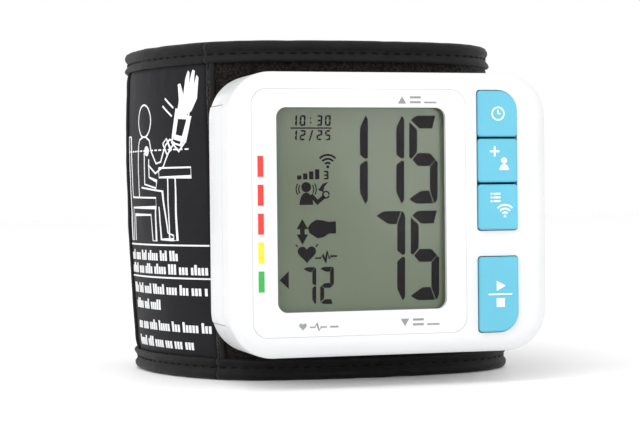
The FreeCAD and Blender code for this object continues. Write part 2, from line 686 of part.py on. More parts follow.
# ---------------------------------------------------------------- cuff loop

def turned(side, turn, distance):
    """Outward step of a distance where the loop has turned by an angle from its front crown."""
    angle = math.radians(turn)
    return Vector(side * math.sin(angle), -math.cos(angle), 0) * distance


class Run:
    """A stretch of the loop's outer face: an arc, or a straight where the radius is zero."""

    def __init__(self, side, start, radius, first, last, length=0.0):
        self.side = side
        self.radius = radius
        self.first = first
        self.last = last
        self.start = start
        self.centre = start - turned(side, first, radius)
        ahead = Vector(side * math.cos(math.radians(last)), math.sin(math.radians(last)), 0)
        self.end = self.centre + turned(side, last, radius) if radius else start + ahead * length

    def edge(self, depth, first, last):
        """The face's offset at a depth below the outer face, between two turns."""
        if not self.radius:
            inward = turned(self.side, self.first, -depth)
            return Part.LineSegment(self.start + inward, self.end + inward)
        low = self.centre + turned(self.side, first, self.radius - depth)
        middle = self.centre + turned(self.side, (first + last) / 2, self.radius - depth)
        high = self.centre + turned(self.side, last, self.radius - depth)
        return Part.Arc(low, middle, high)

    def point(self, turn, depth):
        return self.centre + turned(self.side, turn, self.radius - depth)


def loop_runs():
    """The right side's runs from the front crown to the tail's root, and the left side's."""
    front = Vector(size("case_x + loop_crown_x"), size("face_y + loop_front_y"), 0)
    shallow = size("shallow_turn")
    back = size("back_turn")
    right = [Run(1, front, size("front_radius"), 0, shallow)]
    right.append(Run(1, right[-1].end, size("right_corner_radius"), shallow, size("right_turn")))
    right.append(Run(1, right[-1].end, size("right_side_radius"), size("right_turn"), 90))
    back_crown = front.y + size("loop_depth - lap_offset")
    sweep = math.radians(back)
    rise = size("right_back_radius") * -math.cos(sweep)
    rise += size("back_radius") * (1 + math.cos(sweep))
    straight = back_crown - rise - right[-1].end.y
    right.append(Run(1, right[-1].end, 0, 90, 90, straight))
    right.append(Run(1, right[-1].end, size("right_back_radius"), 90, back))
    right.append(Run(1, right[-1].end, size("back_radius"), back, size("tail_root_turn")))
    left = [Run(-1, front, size("front_radius"), 0, shallow)]
    left.append(Run(-1, left[-1].end, size("left_corner_radius"), shallow, size("left_turn")))
    left.append(Run(-1, left[-1].end, size("left_side_radius"), size("left_turn"), 90))
    root = right[-1].point(size("tail_root_turn"), -size("lap_offset"))
    radius = (root.x - left[-1].end.x) / (1 - math.sin(sweep))
    straight = root.y + radius * math.cos(sweep) - left[-1].end.y
    assert straight >= 0, "the left side overshoots the tail's root"
    left.append(Run(-1, left[-1].end, 0, 90, 90, straight))
    left.append(Run(-1, left[-1].end, radius, 90, back))
    return right, left


RIGHT, LEFT = loop_runs()


def stretch(runs, first, last):
    """The parts of the runs between two turns, as (run, first, last)."""
    parts = []
    for run in runs:
        low = max(first, run.first)
        high = min(last, run.last)
        if high > low or (not run.radius and first < 90 < last):
            parts.append((run, low, high))
    return parts


def band_sketch(body, name, parts, outer, inner, z):
    """A closed band between two depths, drawn in the plane z."""
    sketch = body.newObject("Sketcher::SketchObject", name)
    support = [f for f in body.Origin.OriginFeatures if f.Role == "XY_Plane"][0]
    sketch.AttachmentSupport = [(support, "")]
    sketch.MapMode = "FlatFace"
    bind(sketch, AttachmentOffset__Base__z=z)
    faces = []
    for depth in (outer, inner):
        edges = [run.edge(depth, first, last) for run, first, last in parts]
        faces.append(edges)
        for edge in edges:
            if isinstance(edge, Part.Arc):
                circle = edge.toShape().Curve
                ends = sorted((edge.toShape().FirstParameter, edge.toShape().LastParameter))
                sketch.addGeometry(Part.ArcOfCircle(circle, ends[0], ends[1]))
            else:
                sketch.addGeometry(edge)
    for end in (0, -1):
        shapes = [face[end].toShape() for face in faces]
        pair = [shape.valueAt(shape.FirstParameter if end == 0 else shape.LastParameter)
                for shape in shapes]
        sketch.addGeometry(Part.LineSegment(pair[0], pair[1]))
    doc.recompute()
    return sketch


def band(label, parts, outer, inner, low, high, body=None):
    """A curved layer of the cuff between two depths and two heights."""
    body = body or new_body(label)
    sketch = band_sketch(body, label + "_shape", parts, size(outer), size(inner), low)
    pad = body.newObject("PartDesign::Pad", label + "_pad")
    pad.Profile = sketch
    bind(pad, Length=f"({high}) - ({low})")
    doc.recompute()
    return body


def binding(label, parts, outer, inner, top, inner_lip="binding_lip"):
    """A folded tape round an edge of the cuff: a channel open towards the cuff's middle."""
    low = "cuff_height - binding_height" if top else "0"
    high = "cuff_height" if top else "binding_height"
    body = band(label, parts, f"{outer} - binding_lip", f"{inner} + {inner_lip}", low, high)
    channel_low = low if top else "layer_margin - 0.05"
    channel_high = "cuff_height - layer_margin + 0.05" if top else high
    sketch = band_sketch(body, label + "_channel_shape", parts, size(f"{outer} - 0.01"),
                         size(f"{inner} + 0.01"), channel_low)
    cut = body.newObject("PartDesign::Pocket", label + "_channel")
    cut.Profile = sketch
    cut.Reversed = True
    before = body.Shape.Volume
    bind(cut, Length=f"({channel_high}) - ({channel_low})")
    doc.recompute()
    share = body.Shape.Volume / before
    assert 0.2 < share < 0.7, f"{label} channel leaves {share:.2f}"


def cuff_section(prefix, runs_parts, inner_parts):
    """The layers that the front and the left side of the cuff share."""
    low = "layer_margin"
    high = "cuff_height - layer_margin"
    band(prefix + "_fabric", runs_parts, "0", "fabric", low, high)
    band(prefix + "_stiffener", inner_parts, "fabric", "fabric + stiffener",
         "inner_margin", "cuff_height - inner_margin")
    band(prefix + "_bladder", inner_parts, "fabric + stiffener", "fabric + stiffener + bladder",
         "inner_margin + 1", "cuff_height - inner_margin - 1")
    total = "fabric + stiffener + bladder + lining"
    band(prefix + "_lining", runs_parts, "fabric + stiffener + bladder", total, low, high)
    binding(prefix + "_top_binding", runs_parts, "0", total, True)
    binding(prefix + "_bottom_binding", runs_parts, "0", total, False)


def cut_rods(label, holes):
    """Round holes through a layer of the cuff, as (name, x, z, radius)."""
    body = [node for node in nodes if node.Label == label][0]
    for name, at_x, at_z, radius, last in holes:
        rod(body, f"{label}_{name}", "y", (at_x, behind_face("loop_front_y - 2"), at_z), radius,
            last, cut=True)


def front_holes():
    """Ways through the cuff's front for the cuff hose, its nipple and the mounting screws."""
    hose_x, hose_z = case_at("air_x", "air_z")
    fabric_holes = [("hose", hose_x, hose_z, "hose_radius + 0.3", "6")]
    stiffener_holes = [("hose", hose_x, hose_z, "nipple_flange + 0.3", "6")]
    for name, sx, sz in MOUNT_CORNERS:
        at_x, at_z = mount_corner(sx, sz)
        fabric_holes.append((name, at_x, at_z, "screw_radius + 0.1", "6"))
        stiffener_holes.append((name, at_x, at_z, "screw_head + 0.1", "7"))
    cut_rods("front_fabric", fabric_holes)
    cut_rods("front_stiffener", stiffener_holes)
    cut_rods("front_bladder", [("nipple", hose_x, hose_z, "nipple_flange + 0.1",
                                "2 + fabric + stiffener + 0.5")])


def both_sides(first, last):
    """Runs from a turn on the left side, through the front crown, to a turn on the right."""
    left_parts = [(run, high, low) for run, low, high in reversed(stretch(LEFT, 0, first))]
    return left_parts + stretch(RIGHT, 0, last)


def cuff():
    seam = size("seam_turn")
    gap = size("seam_half_gap")
    tip = size("right_tip_turn")
    front = both_sides(seam - gap, tip)
    cuff_section("front", front, both_sides(seam - gap, tip - 8))
    front_holes()
    left_end = size("back_turn") - size("tail_half_gap") * 2
    left = stretch(LEFT, seam + gap, left_end)
    cuff_section("left", left, stretch(LEFT, seam + gap, left_end - 4))
    strip_turn = size("seam_strip_turn")
    low = "binding_height + 0.1"
    high = "cuff_height - binding_height - 0.1"
    band("front_seam_strip", stretch(LEFT, seam - gap - strip_turn, seam - gap),
         "0 - seam_strip_proud", "0 - 0.01", low, high)
    panel_end = size("panel_end_turn")
    band("left_seam_strip", stretch(LEFT, panel_end, panel_end + size("panel_strip_turn")),
         "0 - seam_strip_proud", "0 - 0.01", low, high)
    tail = stretch(RIGHT, size("tail_tip_turn"), size("tail_root_turn - tail_half_gap"))
    total = "0 - lap_offset + tail_fabric + tail_lining"
    band("tail_fabric_panel", tail, "0 - lap_offset", "0 - lap_offset + tail_fabric", "layer_margin",
         "cuff_height - layer_margin")
    band("tail_lining", tail, "0 - lap_offset + tail_fabric", total, "layer_margin",
         "cuff_height - layer_margin")
    hook = stretch(RIGHT, size("tail_tip_turn + hook_tip_turn"), size("tail_root_turn - hook_root_turn"))
    band("hook_pad", hook, total, f"{total} + hook_depth", "binding_height + hook_margin",
         "cuff_height - binding_height - hook_margin")
    binding("tail_bottom_binding", tail, "0 - lap_offset", total, False, "tail_lip")
    binding("tail_top_binding", tail, "0 - lap_offset", total, True, "tail_lip")


# ---------------------------------------------------------------- build, check, export

front_cover()
rear_cover()
battery_door()
display()
scale_marks()
buttons()
board()
batteries()
air_system()
fixings()
cuff()
doc.recompute()

failed = [thing.Label for thing in doc.Objects if {"Invalid", "Error"} & set(thing.State)]
assert not failed, f"failed objects: {failed}"
for node in nodes:
    assert not node.Shape.isNull() and node.Shape.isValid(), f"{node.Label} has no valid shape"

os.makedirs("parts", exist_ok=True)
whole = FreeCAD.BoundBox()
for node in nodes:
    node.Shape.exportStep(f"parts/{node.Label}.step")
    whole.add(node.Shape.BoundBox)
print(len(nodes), "nodes", whole)
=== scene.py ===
import json
import math

import bmesh
import bpy
from mathutils import Matrix, Vector, noise


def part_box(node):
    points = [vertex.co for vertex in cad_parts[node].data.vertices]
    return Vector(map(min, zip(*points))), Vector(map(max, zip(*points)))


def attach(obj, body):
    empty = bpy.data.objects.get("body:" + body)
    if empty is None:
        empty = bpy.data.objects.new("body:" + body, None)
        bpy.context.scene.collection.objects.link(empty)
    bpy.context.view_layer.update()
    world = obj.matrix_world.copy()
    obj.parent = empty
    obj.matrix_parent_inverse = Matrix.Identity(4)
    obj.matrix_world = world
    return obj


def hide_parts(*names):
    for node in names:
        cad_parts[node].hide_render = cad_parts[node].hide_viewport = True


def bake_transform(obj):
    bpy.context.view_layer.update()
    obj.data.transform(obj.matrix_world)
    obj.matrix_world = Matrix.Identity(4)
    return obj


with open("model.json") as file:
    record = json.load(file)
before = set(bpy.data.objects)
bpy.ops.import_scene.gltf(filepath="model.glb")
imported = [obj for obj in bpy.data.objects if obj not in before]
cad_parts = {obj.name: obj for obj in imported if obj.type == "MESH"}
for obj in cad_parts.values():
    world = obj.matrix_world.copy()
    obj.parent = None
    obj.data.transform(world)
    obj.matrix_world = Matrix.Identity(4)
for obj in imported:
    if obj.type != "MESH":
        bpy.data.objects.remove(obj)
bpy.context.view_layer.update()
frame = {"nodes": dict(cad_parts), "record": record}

# Wrist blood pressure monitor on its cuff. Lengths in the sections below are in millimetres
# and become metres when a mesh is made; +Z is up and the display faces -Y.

MM = 0.001
nodes = frame["nodes"]


def box_mm(node):
    low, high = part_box(node)
    return [value / MM for value in low], [value / MM for value in high]


def add_object(name, data):
    thing = bpy.data.objects.new(name, data)
    bpy.context.scene.collection.objects.link(thing)
    return thing


# The place that the display's drawings, the camera and the cuff's crown are measured from:
# on the monitor's front, right of the window's middle and a little below it.
window_low, window_high = box_mm("display_window")
FACE_X = (window_low[0] + window_high[0]) / 2 + 6.88
FACE_Y = box_mm("front_cover")[0][1]
FACE_Z = (window_low[2] + window_high[2]) / 2 - 0.65
CUFF_HEIGHT = box_mm("front_top_binding")[1][2]

# ---- camera

CAMERA_TURN = 16.0      # degrees left of the display's own axis
CAMERA_PITCH = 0.6      # degrees looking down
CAMERA_ROLL = -0.6
CAMERA_LENS = 104.06
CAMERA_OFFSET = (-131.4, -399.1, 4.15)


def add_camera():
    data = bpy.data.cameras.new("camera")
    data.lens = CAMERA_LENS
    data.sensor_width = 36.0
    data.clip_start = 0.01
    camera = add_object("camera", data)
    turn = Matrix.Rotation(math.radians(-CAMERA_TURN), 4, "Z")
    level = Matrix.Rotation(math.radians(90 - CAMERA_PITCH), 4, "X")
    roll = Matrix.Rotation(math.radians(CAMERA_ROLL), 4, "Z")
    place = (Vector((FACE_X, FACE_Y, FACE_Z)) + Vector(CAMERA_OFFSET)) * MM
    camera.matrix_world = Matrix.Translation(place) @ turn @ level @ roll
    bpy.context.scene.camera = camera


add_camera()

# ---- material building blocks


class Shader:
    """A material being built: its node tree, its Principled shader and its coordinates in mm."""

    def __init__(self, name, color, roughness, cloth=False, scale=(1000, 1000, 1000), **settings):
        self.material = bpy.data.materials.new(name)
        self.material.use_nodes = True
        self.tree = self.material.node_tree
        self.main = self.tree.nodes["Principled BSDF"]
        self.main.inputs["Base Color"].default_value = (*color, 1)
        self.main.inputs["Roughness"].default_value = roughness
        for key, value in settings.items():
            self.main.inputs[key.replace("_", " ")].default_value = value
        self.material.diffuse_color = (*color, 1)
        self.where = self.cloth_coordinates() if cloth else self.object_coordinates(scale)

    def add(self, kind, **values):
        node = self.tree.nodes.new(kind)
        for key, value in values.items():
            if key in node.inputs:
                node.inputs[key].default_value = value
            else:
                setattr(node, key, value)
        return node

    def link(self, source, target):
        self.tree.links.new(source, target)

    def mapped(self, source, scale):
        mapping = self.add("ShaderNodeMapping", Scale=scale)
        self.link(source, mapping.inputs["Vector"])
        return mapping.outputs["Vector"]

    def object_coordinates(self, scale):
        """Places on the object."""
        return self.mapped(self.add("ShaderNodeTexCoord").outputs["Object"], scale)

    def cloth_coordinates(self):
        """Places along and up the cloth, from its own layout."""
        return self.mapped(self.add("ShaderNodeUVMap", uv_map="cloth").outputs["UV"], (100, 100, 100))

    def texture(self, kind, output, **values):
        texture = self.add(kind, **values)
        self.link(self.where, texture.inputs["Vector"])
        return texture.outputs[output]

    def noise(self, scale, detail=2.0, roughness=0.5):
        return self.texture("ShaderNodeTexNoise", "Fac", Scale=scale, Detail=detail, Roughness=roughness)

    def wave(self, scale, direction="X", distortion=0.0):
        return self.texture("ShaderNodeTexWave", "Fac", Scale=scale, Distortion=distortion, Detail=1.0,
                            bands_direction=direction)

    def weave(self, scale, distortion, operation):
        """Waves along and across the cloth, joined into one height."""
        return self.math(operation, self.wave(scale, "X", distortion), self.wave(scale, "Y", distortion))

    def tufts(self, scale, randomness):
        """Rounded heights, one for each tuft or hook."""
        distance = self.texture("ShaderNodeTexVoronoi", "Distance", Scale=scale, Randomness=randomness,
                                feature="F1")
        return self.math("SUBTRACT", 1.0, distance)

    def math(self, operation, first, second):
        node = self.add("ShaderNodeMath", operation=operation)
        for slot, value in enumerate((first, second)):
            if isinstance(value, (int, float)):
                node.inputs[slot].default_value = value
            else:
                self.link(value, node.inputs[slot])
        return node.outputs[0]

    def ramp(self, factor, stops):
        node = self.add("ShaderNodeValToRGB")
        elements = node.color_ramp.elements
        while len(elements) < len(stops):
            elements.new(0.5)
        for element, (position, color) in zip(elements, stops):
            element.position = position
            element.color = (*color, 1)
        self.link(factor, node.inputs["Fac"])
        return node.outputs["Color"]

    def color(self, source):
        self.link(source, self.main.inputs["Base Color"])

    def roughness(self, factor, low, high):
        node = self.add("ShaderNodeMapRange")
        node.inputs["To Min"].default_value = low
        node.inputs["To Max"].default_value = high
        self.link(factor, node.inputs["Value"])
        self.link(node.outputs["Result"], self.main.inputs["Roughness"])

    def bump(self, height, distance, strength=1.0):
        """Bump with its height in millimetres."""
        node = self.add("ShaderNodeBump", Strength=strength, Distance=distance * MM)
        self.link(height, node.inputs["Height"])
        self.link(node.outputs["Normal"], self.main.inputs["Normal"])


# ---- materials


def moulded(name, color, roughness, grain=0.004, spread=0.02, **settings):
    """Moulded plastic: a faint grain, and a colour that varies a little."""
    shader = Shader(name, color, roughness, **settings)
    broad = shader.noise(0.06)
    low = tuple(channel * (1 - spread) for channel in color)
    high = tuple(channel * (1 + spread) for channel in color)
    shader.color(shader.ramp(broad, [(0.3, low), (0.7, high)]))
    shader.roughness(broad, roughness * 0.92, roughness * 1.08)
    shader.bump(shader.noise(5.0, 3.0), grain)
    return shader.material


def metal(name, color, roughness):
    shader = Shader(name, color, roughness, scale=(1000, 1000, 200), Metallic=1.0)
    streaks = shader.noise(3.0, 4.0)
    shader.roughness(streaks, roughness * 0.7, roughness * 1.4)
    shader.bump(streaks, 0.003)
    return shader.material


def window_material():
    """Clear acrylic, thin enough to show as a faint film over the display."""
    shader = Shader("clear_window", (0.02, 0.022, 0.02), 0.04, IOR=1.49, Alpha=0.06)
    smears = shader.noise(0.08)
    shader.roughness(smears, 0.03, 0.07)
    shader.bump(smears, 0.003)
    return shader.material


def display_material():
    """Grey-green liquid crystal: an even tint with a faint cloud and a fine grainy bump."""
    shader = Shader("display_grey", (0.20, 0.235, 0.165), 0.42, Coat_Weight=1.0, Coat_Roughness=0.12)
    cloud = shader.noise(0.04)
    shader.color(shader.ramp(cloud, [(0.3, (0.212, 0.262, 0.168)), (0.7, (0.226, 0.279, 0.181))]))
    shader.bump(shader.noise(8.0), 0.002)
    return shader.material


def circuit_board_material():
    shader = Shader("circuit_board", (0.02, 0.16, 0.07), 0.35)
    tracks = shader.wave(0.7, "DIAGONAL", 6.0)
    shader.color(shader.ramp(tracks, [(0.55, (0.015, 0.13, 0.055)), (0.62, (0.03, 0.22, 0.10))]))
    shader.bump(tracks, 0.02)
    return shader.material


def silicone_material():
    shader = Shader("silicone", (0.75, 0.76, 0.77), 0.35, Subsurface_Weight=0.3,
                    Subsurface_Radius=(0.001, 0.001, 0.001))
    shader.bump(shader.noise(2.0), 0.01)
    return shader.material


def loop_fabric_material():
    """Brushed loop pile: brown-black tufts, with painted shade darkening the gaps between them."""
    shader = Shader("loop_fabric", (0.02, 0.017, 0.015), 0.95, True, Sheen_Weight=0.12,
                    Sheen_Roughness=0.45, Specular_IOR_Level=0.1)
    pile_height_and_shade = shader.math("MULTIPLY", shader.tufts(1.5, 1.0), shader.noise(3.2, 4.0, 0.65))
    # colour follows the pile's height: painted shade in the low gaps between the tufts
    shader.color(shader.ramp(pile_height_and_shade, [(0.12, (0.003, 0.0025, 0.002)), (0.42, (0.016, 0.0125, 0.0105)),
                                   (0.75, (0.042, 0.032, 0.026))]))
    shader.bump(pile_height_and_shade, 0.45)
    return shader.material


def panel_fabric_material():
    """Smooth coated fabric: a fine weave under a soft satin coat."""
    shader = Shader("panel_fabric", (0.011, 0.010, 0.012), 0.5, True, Specular_IOR_Level=0.14)
    cloud = shader.noise(0.12, 3.0)
    shader.color(shader.ramp(cloud, [(0.3, (0.0058, 0.0052, 0.0072)), (0.7, (0.0086, 0.0078, 0.0104))]))
    shader.roughness(cloud, 0.46, 0.58)
    shader.bump(shader.weave(0.9, 0.0, "MAXIMUM"), 0.02)
    return shader.material


def binding_material():
    """Woven binding tape: fine ribs across the tape, satin, lighter where it is worn."""
    shader = Shader("binding_tape", (0.009, 0.008, 0.008), 0.55, True, Specular_IOR_Level=0.16,
                    Sheen_Weight=0.09, Sheen_Roughness=0.3)
    cloud = shader.noise(0.25, 3.0)
    shader.color(shader.ramp(cloud, [(0.3, (0.0042, 0.0038, 0.0040)), (0.7, (0.0092, 0.0082, 0.0084))]))
    shader.roughness(cloud, 0.5, 0.66)
    shader.bump(shader.wave(1.1, "X", 0.6), 0.035)
    return shader.material


def lining_material():
    """Plain-woven nylon lining."""
    shader = Shader("lining_fabric", (0.016, 0.016, 0.018), 0.65, True, Specular_IOR_Level=0.2,
                    Sheen_Weight=0.1)
    cloud = shader.noise(0.15, 3.0)
    shader.color(shader.ramp(cloud, [(0.3, (0.017, 0.017, 0.019)), (0.7, (0.032, 0.032, 0.035))]))
    shader.bump(shader.weave(0.55, 0.4, "MULTIPLY"), 0.06)
    return shader.material


def hook_material():
    shader = Shader("hook_fabric", (0.012, 0.012, 0.013), 0.55, True)
    height = shader.tufts(1.1, 0.25)
    # colour follows the hooks' height: painted shade down between the hooks, lighter tops
    shader.color(shader.ramp(height, [(0.4, (0.006, 0.006, 0.006)), (0.9, (0.035, 0.035, 0.037))]))
    shader.bump(height, 0.3)
    return shader.material


def thread_material():
    shader = Shader("thread", (0.004, 0.004, 0.004), 0.6, Specular_IOR_Level=0.1)
    twist_height_and_shade = shader.wave(2.0, "DIAGONAL")
    # colour follows the twist's height: painted shade in the grooves of the twist
    shader.color(shader.ramp(twist_height_and_shade, [(0.2, (0.0015, 0.0015, 0.0015)), (0.8, (0.004, 0.004, 0.004))]))
    shader.bump(twist_height_and_shade, 0.04)
    return shader.material


def print_material(name, color, **settings):
    """Screen-printed ink: slightly uneven cover."""
    shader = Shader(name, color, 0.55, **settings)
    cover = shader.noise(1.2, 3.0)
    worn = tuple(channel * 0.9 for channel in color)
    shader.color(shader.ramp(cover, [(0.35, worn), (0.6, color)]))
    shader.bump(cover, 0.01)
    return shader.material


MATERIALS = {
    "white_plastic": moulded("white_plastic", (0.715, 0.72, 0.728), 0.34, Coat_Weight=0.15),
    "bezel": moulded("bezel", (0.725, 0.73, 0.738), 0.26, 0.002, Coat_Weight=0.2),
    "clear_window": window_material(),
    "display_grey": display_material(),
    "diffuser": moulded("diffuser", (0.8, 0.83, 0.85), 0.4),
    "black_plastic": moulded("black_plastic", (0.02, 0.02, 0.022), 0.5, 0.01),
    "dark_rubber": moulded("dark_rubber", (0.02, 0.02, 0.022), 0.8, 0.01),
    "blue_plastic": moulded("blue_plastic", (0.105, 0.465, 0.62), 0.42, 0.003, 0.05),
    "red_print": print_material("red_print", (0.80, 0.035, 0.025)),
    "yellow_print": print_material("yellow_print", (0.88, 0.72, 0.02)),
    "green_print": print_material("green_print", (0.03, 0.42, 0.07)),
    "circuit_board": circuit_board_material(),
    "metal": metal("metal", (0.72, 0.72, 0.74), 0.3),
    "cell_can": metal("cell_can", (0.25, 0.27, 0.32), 0.35),
    "grey_plastic": moulded("grey_plastic", (0.35, 0.36, 0.38), 0.5, 0.01),
    "silicone": silicone_material(),
    "loop_fabric": loop_fabric_material(),
    "panel_fabric": panel_fabric_material(),
    "lining_fabric": lining_material(),
    "binding_tape": binding_material(),
    "hook_fabric": hook_material(),
    "stiffener": moulded("stiffener", (0.12, 0.12, 0.13), 0.6, 0.01),
    "bladder": moulded("bladder", (0.25, 0.27, 0.29), 0.5, 0.01),
}
THREAD = thread_material()
WHITE_INK = print_material("white_ink", (0.80, 0.81, 0.82))
BUTTON_INK = print_material("button_ink", (0.90, 0.95, 0.97))
GREY_INK = print_material("grey_ink", (0.28, 0.28, 0.29))
DISPLAY_INK = print_material("display_ink", (0.013, 0.011, 0.012), Specular_IOR_Level=0.08)

for entry in frame["record"]["subparts"]:
    node = nodes[entry["node"]]
    node.data.materials.clear()
    node.data.materials.append(MATERIALS[entry["material_slot"]])

# ---- mesh building blocks


def make_piece(name, vertices, faces, material, layout=None):
    """A mesh piece from millimetres. layout gives each vertex its place on the flat cloth."""
    mesh = bpy.data.meshes.new(name)
    mesh.from_pydata([Vector(v) * MM for v in vertices], [], faces)
    mesh.materials.append(material)
    for polygon in mesh.polygons:
        polygon.use_smooth = True
    if layout is not None:
        uv = mesh.uv_layers.new(name="cloth")
        for loop in mesh.loops:
            along, up = layout[loop.vertex_index]
            uv.data[loop.index].uv = (along / 100, up / 100)
    mesh.update()
    piece = add_object(name, mesh)
    fix_normals(piece)
    return piece


def fix_normals(piece):
    mesh = bmesh.new()
    mesh.from_mesh(piece.data)
    bmesh.ops.recalc_face_normals(mesh, faces=mesh.faces)
    mesh.to_mesh(piece.data)
    mesh.free()


def steps(first, last, size):
    count = max(2, round(abs(last - first) / size))
    return [first + (last - first) * index / count for index in range(count + 1)]


def tube_faces(stations, ring):
    """A closed tube: rings of vertices at its stations, with a cap at each end."""
    faces = []
    for i in range(stations - 1):
        for j in range(ring):
            a = i * ring + j
            b = i * ring + (j + 1) % ring
            faces.append((a, b, b + ring, a + ring))
    faces.append(tuple(range(ring)))
    faces.append(tuple(reversed(range((stations - 1) * ring, stations * ring))))
    return faces


def shell_faces(length, width, flip=False):
    """A closed shell: two grids of length by width vertices, outer grid first, joined by a rim."""
    back = length * width
    order = -1 if flip else 1
    faces = []
    for i in range(length - 1):
        for j in range(width - 1):
            a = i * width + j
            quad = (a, a + width, a + width + 1, a + 1)
            faces.append(quad[::order])
            faces.append(tuple(back + index for index in quad)[::-order])
    rim = [i * width for i in range(length)]
    rim += [(length - 1) * width + j for j in range(1, width)]
    rim += [i * width + width - 1 for i in range(length - 2, -1, -1)]
    rim += list(range(width - 2, 0, -1))
    for here, there in zip(rim, rim[1:] + rim[:1]):
        faces.append((here, back + here, back + there, there)[::order])
    return faces


# ---- the cuff's loop, seen from above

LOOP_CROWN_X = FACE_X + 0.7
LOOP_FRONT_Y = FACE_Y + 24.0
LOOP_DEPTH = 79.25
LAP_OFFSET = 3.8
SHALLOW_TURN = 12.5
BACK_TURN = 165.0
TAIL_ROOT_TURN = 195.0
FRONT_RADIUS = 106.0
LEFT_RADII = (23.0, 57.0)
LEFT_TURN = 55.4
RIGHT_RADII = (24.0, 57.0)
RIGHT_TURN = 74.0
RIGHT_BACK_RADIUS = 25.0
BACK_RADIUS = 90.7
SEAM_TURN = 48.0
PANEL_END_TURN = 90.5
RIGHT_TIP_TURN = 187.0
TAIL_TIP_TURN = 226.0


def outward(side, turn):
    angle = math.radians(turn)
    return Vector((side * math.sin(angle), -math.cos(angle)))


class Walk:
    """The cuff's outer face, walked from the front crown to one side, in arcs and straights."""

    def __init__(self, side, start):
        self.side = side
        self.runs = []
        self.end = start
        self.turn = 0.0
        self.length = 0.0

    def arc(self, radius, turn):
        centre = self.end - outward(self.side, self.turn) * radius
        span = radius * math.radians(turn - self.turn)
        self.runs.append((self.length, span, centre, radius, self.turn))
        self.end = centre + outward(self.side, turn) * radius
        self.turn = turn
        self.length += span

    def straight(self, span):
        self.runs.append((self.length, span, self.end, 0.0, self.turn))
        angle = math.radians(self.turn)
        self.end = self.end + Vector((self.side * math.cos(angle), math.sin(angle))) * span
        self.length += span

    def at(self, distance):
        """Place and outward direction at a distance from the crown."""
        for begin, span, centre, radius, turn in self.runs:
            if distance <= begin + span or begin + span >= self.length - 1e-9:
                past = distance - begin
                if radius:
                    out = outward(self.side, turn + math.degrees(past / radius))
                    return centre + out * radius, out
                angle = math.radians(turn)
                ahead = Vector((self.side * math.cos(angle), math.sin(angle)))
                return centre + ahead * past, outward(self.side, turn)

    def distance_at(self, wanted):
        for begin, span, centre, radius, turn in self.runs:
            if radius and turn <= wanted <= turn + math.degrees(span / radius) + 1e-6:
                return begin + math.radians(wanted - turn) * radius


def walk_both_ways():
    crown = Vector((LOOP_CROWN_X, LOOP_FRONT_Y))
    sweep = math.radians(BACK_TURN)
    right = Walk(1, crown)
    right.arc(FRONT_RADIUS, SHALLOW_TURN)
    right.arc(RIGHT_RADII[0], RIGHT_TURN)
    right.arc(RIGHT_RADII[1], 90)
    rise = -math.cos(sweep) * RIGHT_BACK_RADIUS + (1 + math.cos(sweep)) * BACK_RADIUS
    right.straight(crown.y + LOOP_DEPTH - LAP_OFFSET - rise - right.end.y)
    right.arc(RIGHT_BACK_RADIUS, BACK_TURN)
    back_centre = right.end - outward(1, BACK_TURN) * BACK_RADIUS
    right.arc(BACK_RADIUS, RIGHT_TIP_TURN)
    root = back_centre + outward(1, TAIL_ROOT_TURN) * (BACK_RADIUS + LAP_OFFSET)
    left = Walk(-1, crown)
    left.arc(FRONT_RADIUS, SHALLOW_TURN)
    left.arc(LEFT_RADII[0], LEFT_TURN)
    left.arc(LEFT_RADII[1], 90)
    radius = (root.x - left.end.x) / (1 - math.sin(sweep))
    left.straight(root.y + radius * math.cos(sweep) - left.end.y)
    left.arc(radius, BACK_TURN)
    tail_root = left.length
    left.arc(BACK_RADIUS + LAP_OFFSET, TAIL_ROOT_TURN)
    left.arc(RIGHT_BACK_RADIUS + LAP_OFFSET, TAIL_TIP_TURN)
    return right, left, tail_root


RIGHT, LEFT, TAIL_ROOT = walk_both_ways()
SEAM = LEFT.distance_at(SEAM_TURN)
PANEL_END = LEFT.distance_at(PANEL_END_TURN)
TAIL_TIP = LEFT.length
RIGHT_TIP = RIGHT.length


def ease(value, start, end):
    """0 before start, 1 after end, smooth between."""
    share = min(1.0, max(0.0, (value - start) / (end - start)))
    return share * share * (3 - 2 * share)


LEAN_LEFT = 2.0
LEAN_RIGHT = 4.6
BULGE = 1.25
BULGE_UNDER_TAIL = 0.15
BULGE_LEFT_SPAN = (-6, 16)      # from the seam
BULGE_RIGHT_SPAN = (30, 48)     # from the crown
LAP_TURNS = (128, 150)          # where the right end dives under the tail


def bulge(along, up):
    """How far the cuff's side stands out between its bound edges."""
    height = math.sin(math.pi * min(1.0, max(0.0, (up - 3) / (CUFF_HEIGHT - 6)))) ** 0.7
    if along < 0:
        share = ease(-along, *[SEAM + span for span in BULGE_LEFT_SPAN]) * BULGE
        share -= ease(-along, TAIL_ROOT - 12, TAIL_ROOT) * BULGE * 0.55
    else:
        share = ease(along, *BULGE_RIGHT_SPAN) * BULGE
        share -= ease(along, *[RIGHT.distance_at(turn) for turn in LAP_TURNS]) * (BULGE - BULGE_UNDER_TAIL)
    return share * height


def cuff_point(along, up, depth):
    """A point of the cuff: along its outer face from the crown, up, and in from the face."""
    walk = LEFT if along < 0 else RIGHT
    place, out = walk.at(abs(along))
    place = place + out * (bulge(along, up) - depth)
    share = min(1.0, max(0.0, (place.x + 45) / 90))
    lean = (LEAN_LEFT + (LEAN_RIGHT - LEAN_LEFT) * share) * (0.5 - up / CUFF_HEIGHT)
    return (place.x + lean, place.y, up)


def wander(along, up, size, seed):
    """Smooth noise from -1 to 1 on the cloth, for features of a size."""
    return noise.noise(Vector((along / size, up / size, seed)))


# ---- padded sections of the cuff

THICKNESS = 4.4
TAIL_THICKNESS = 2.3
RIGHT_END_THINNING = 1.8
EDGE_INSET = 1.5
CLOTH_STEP = 1.1


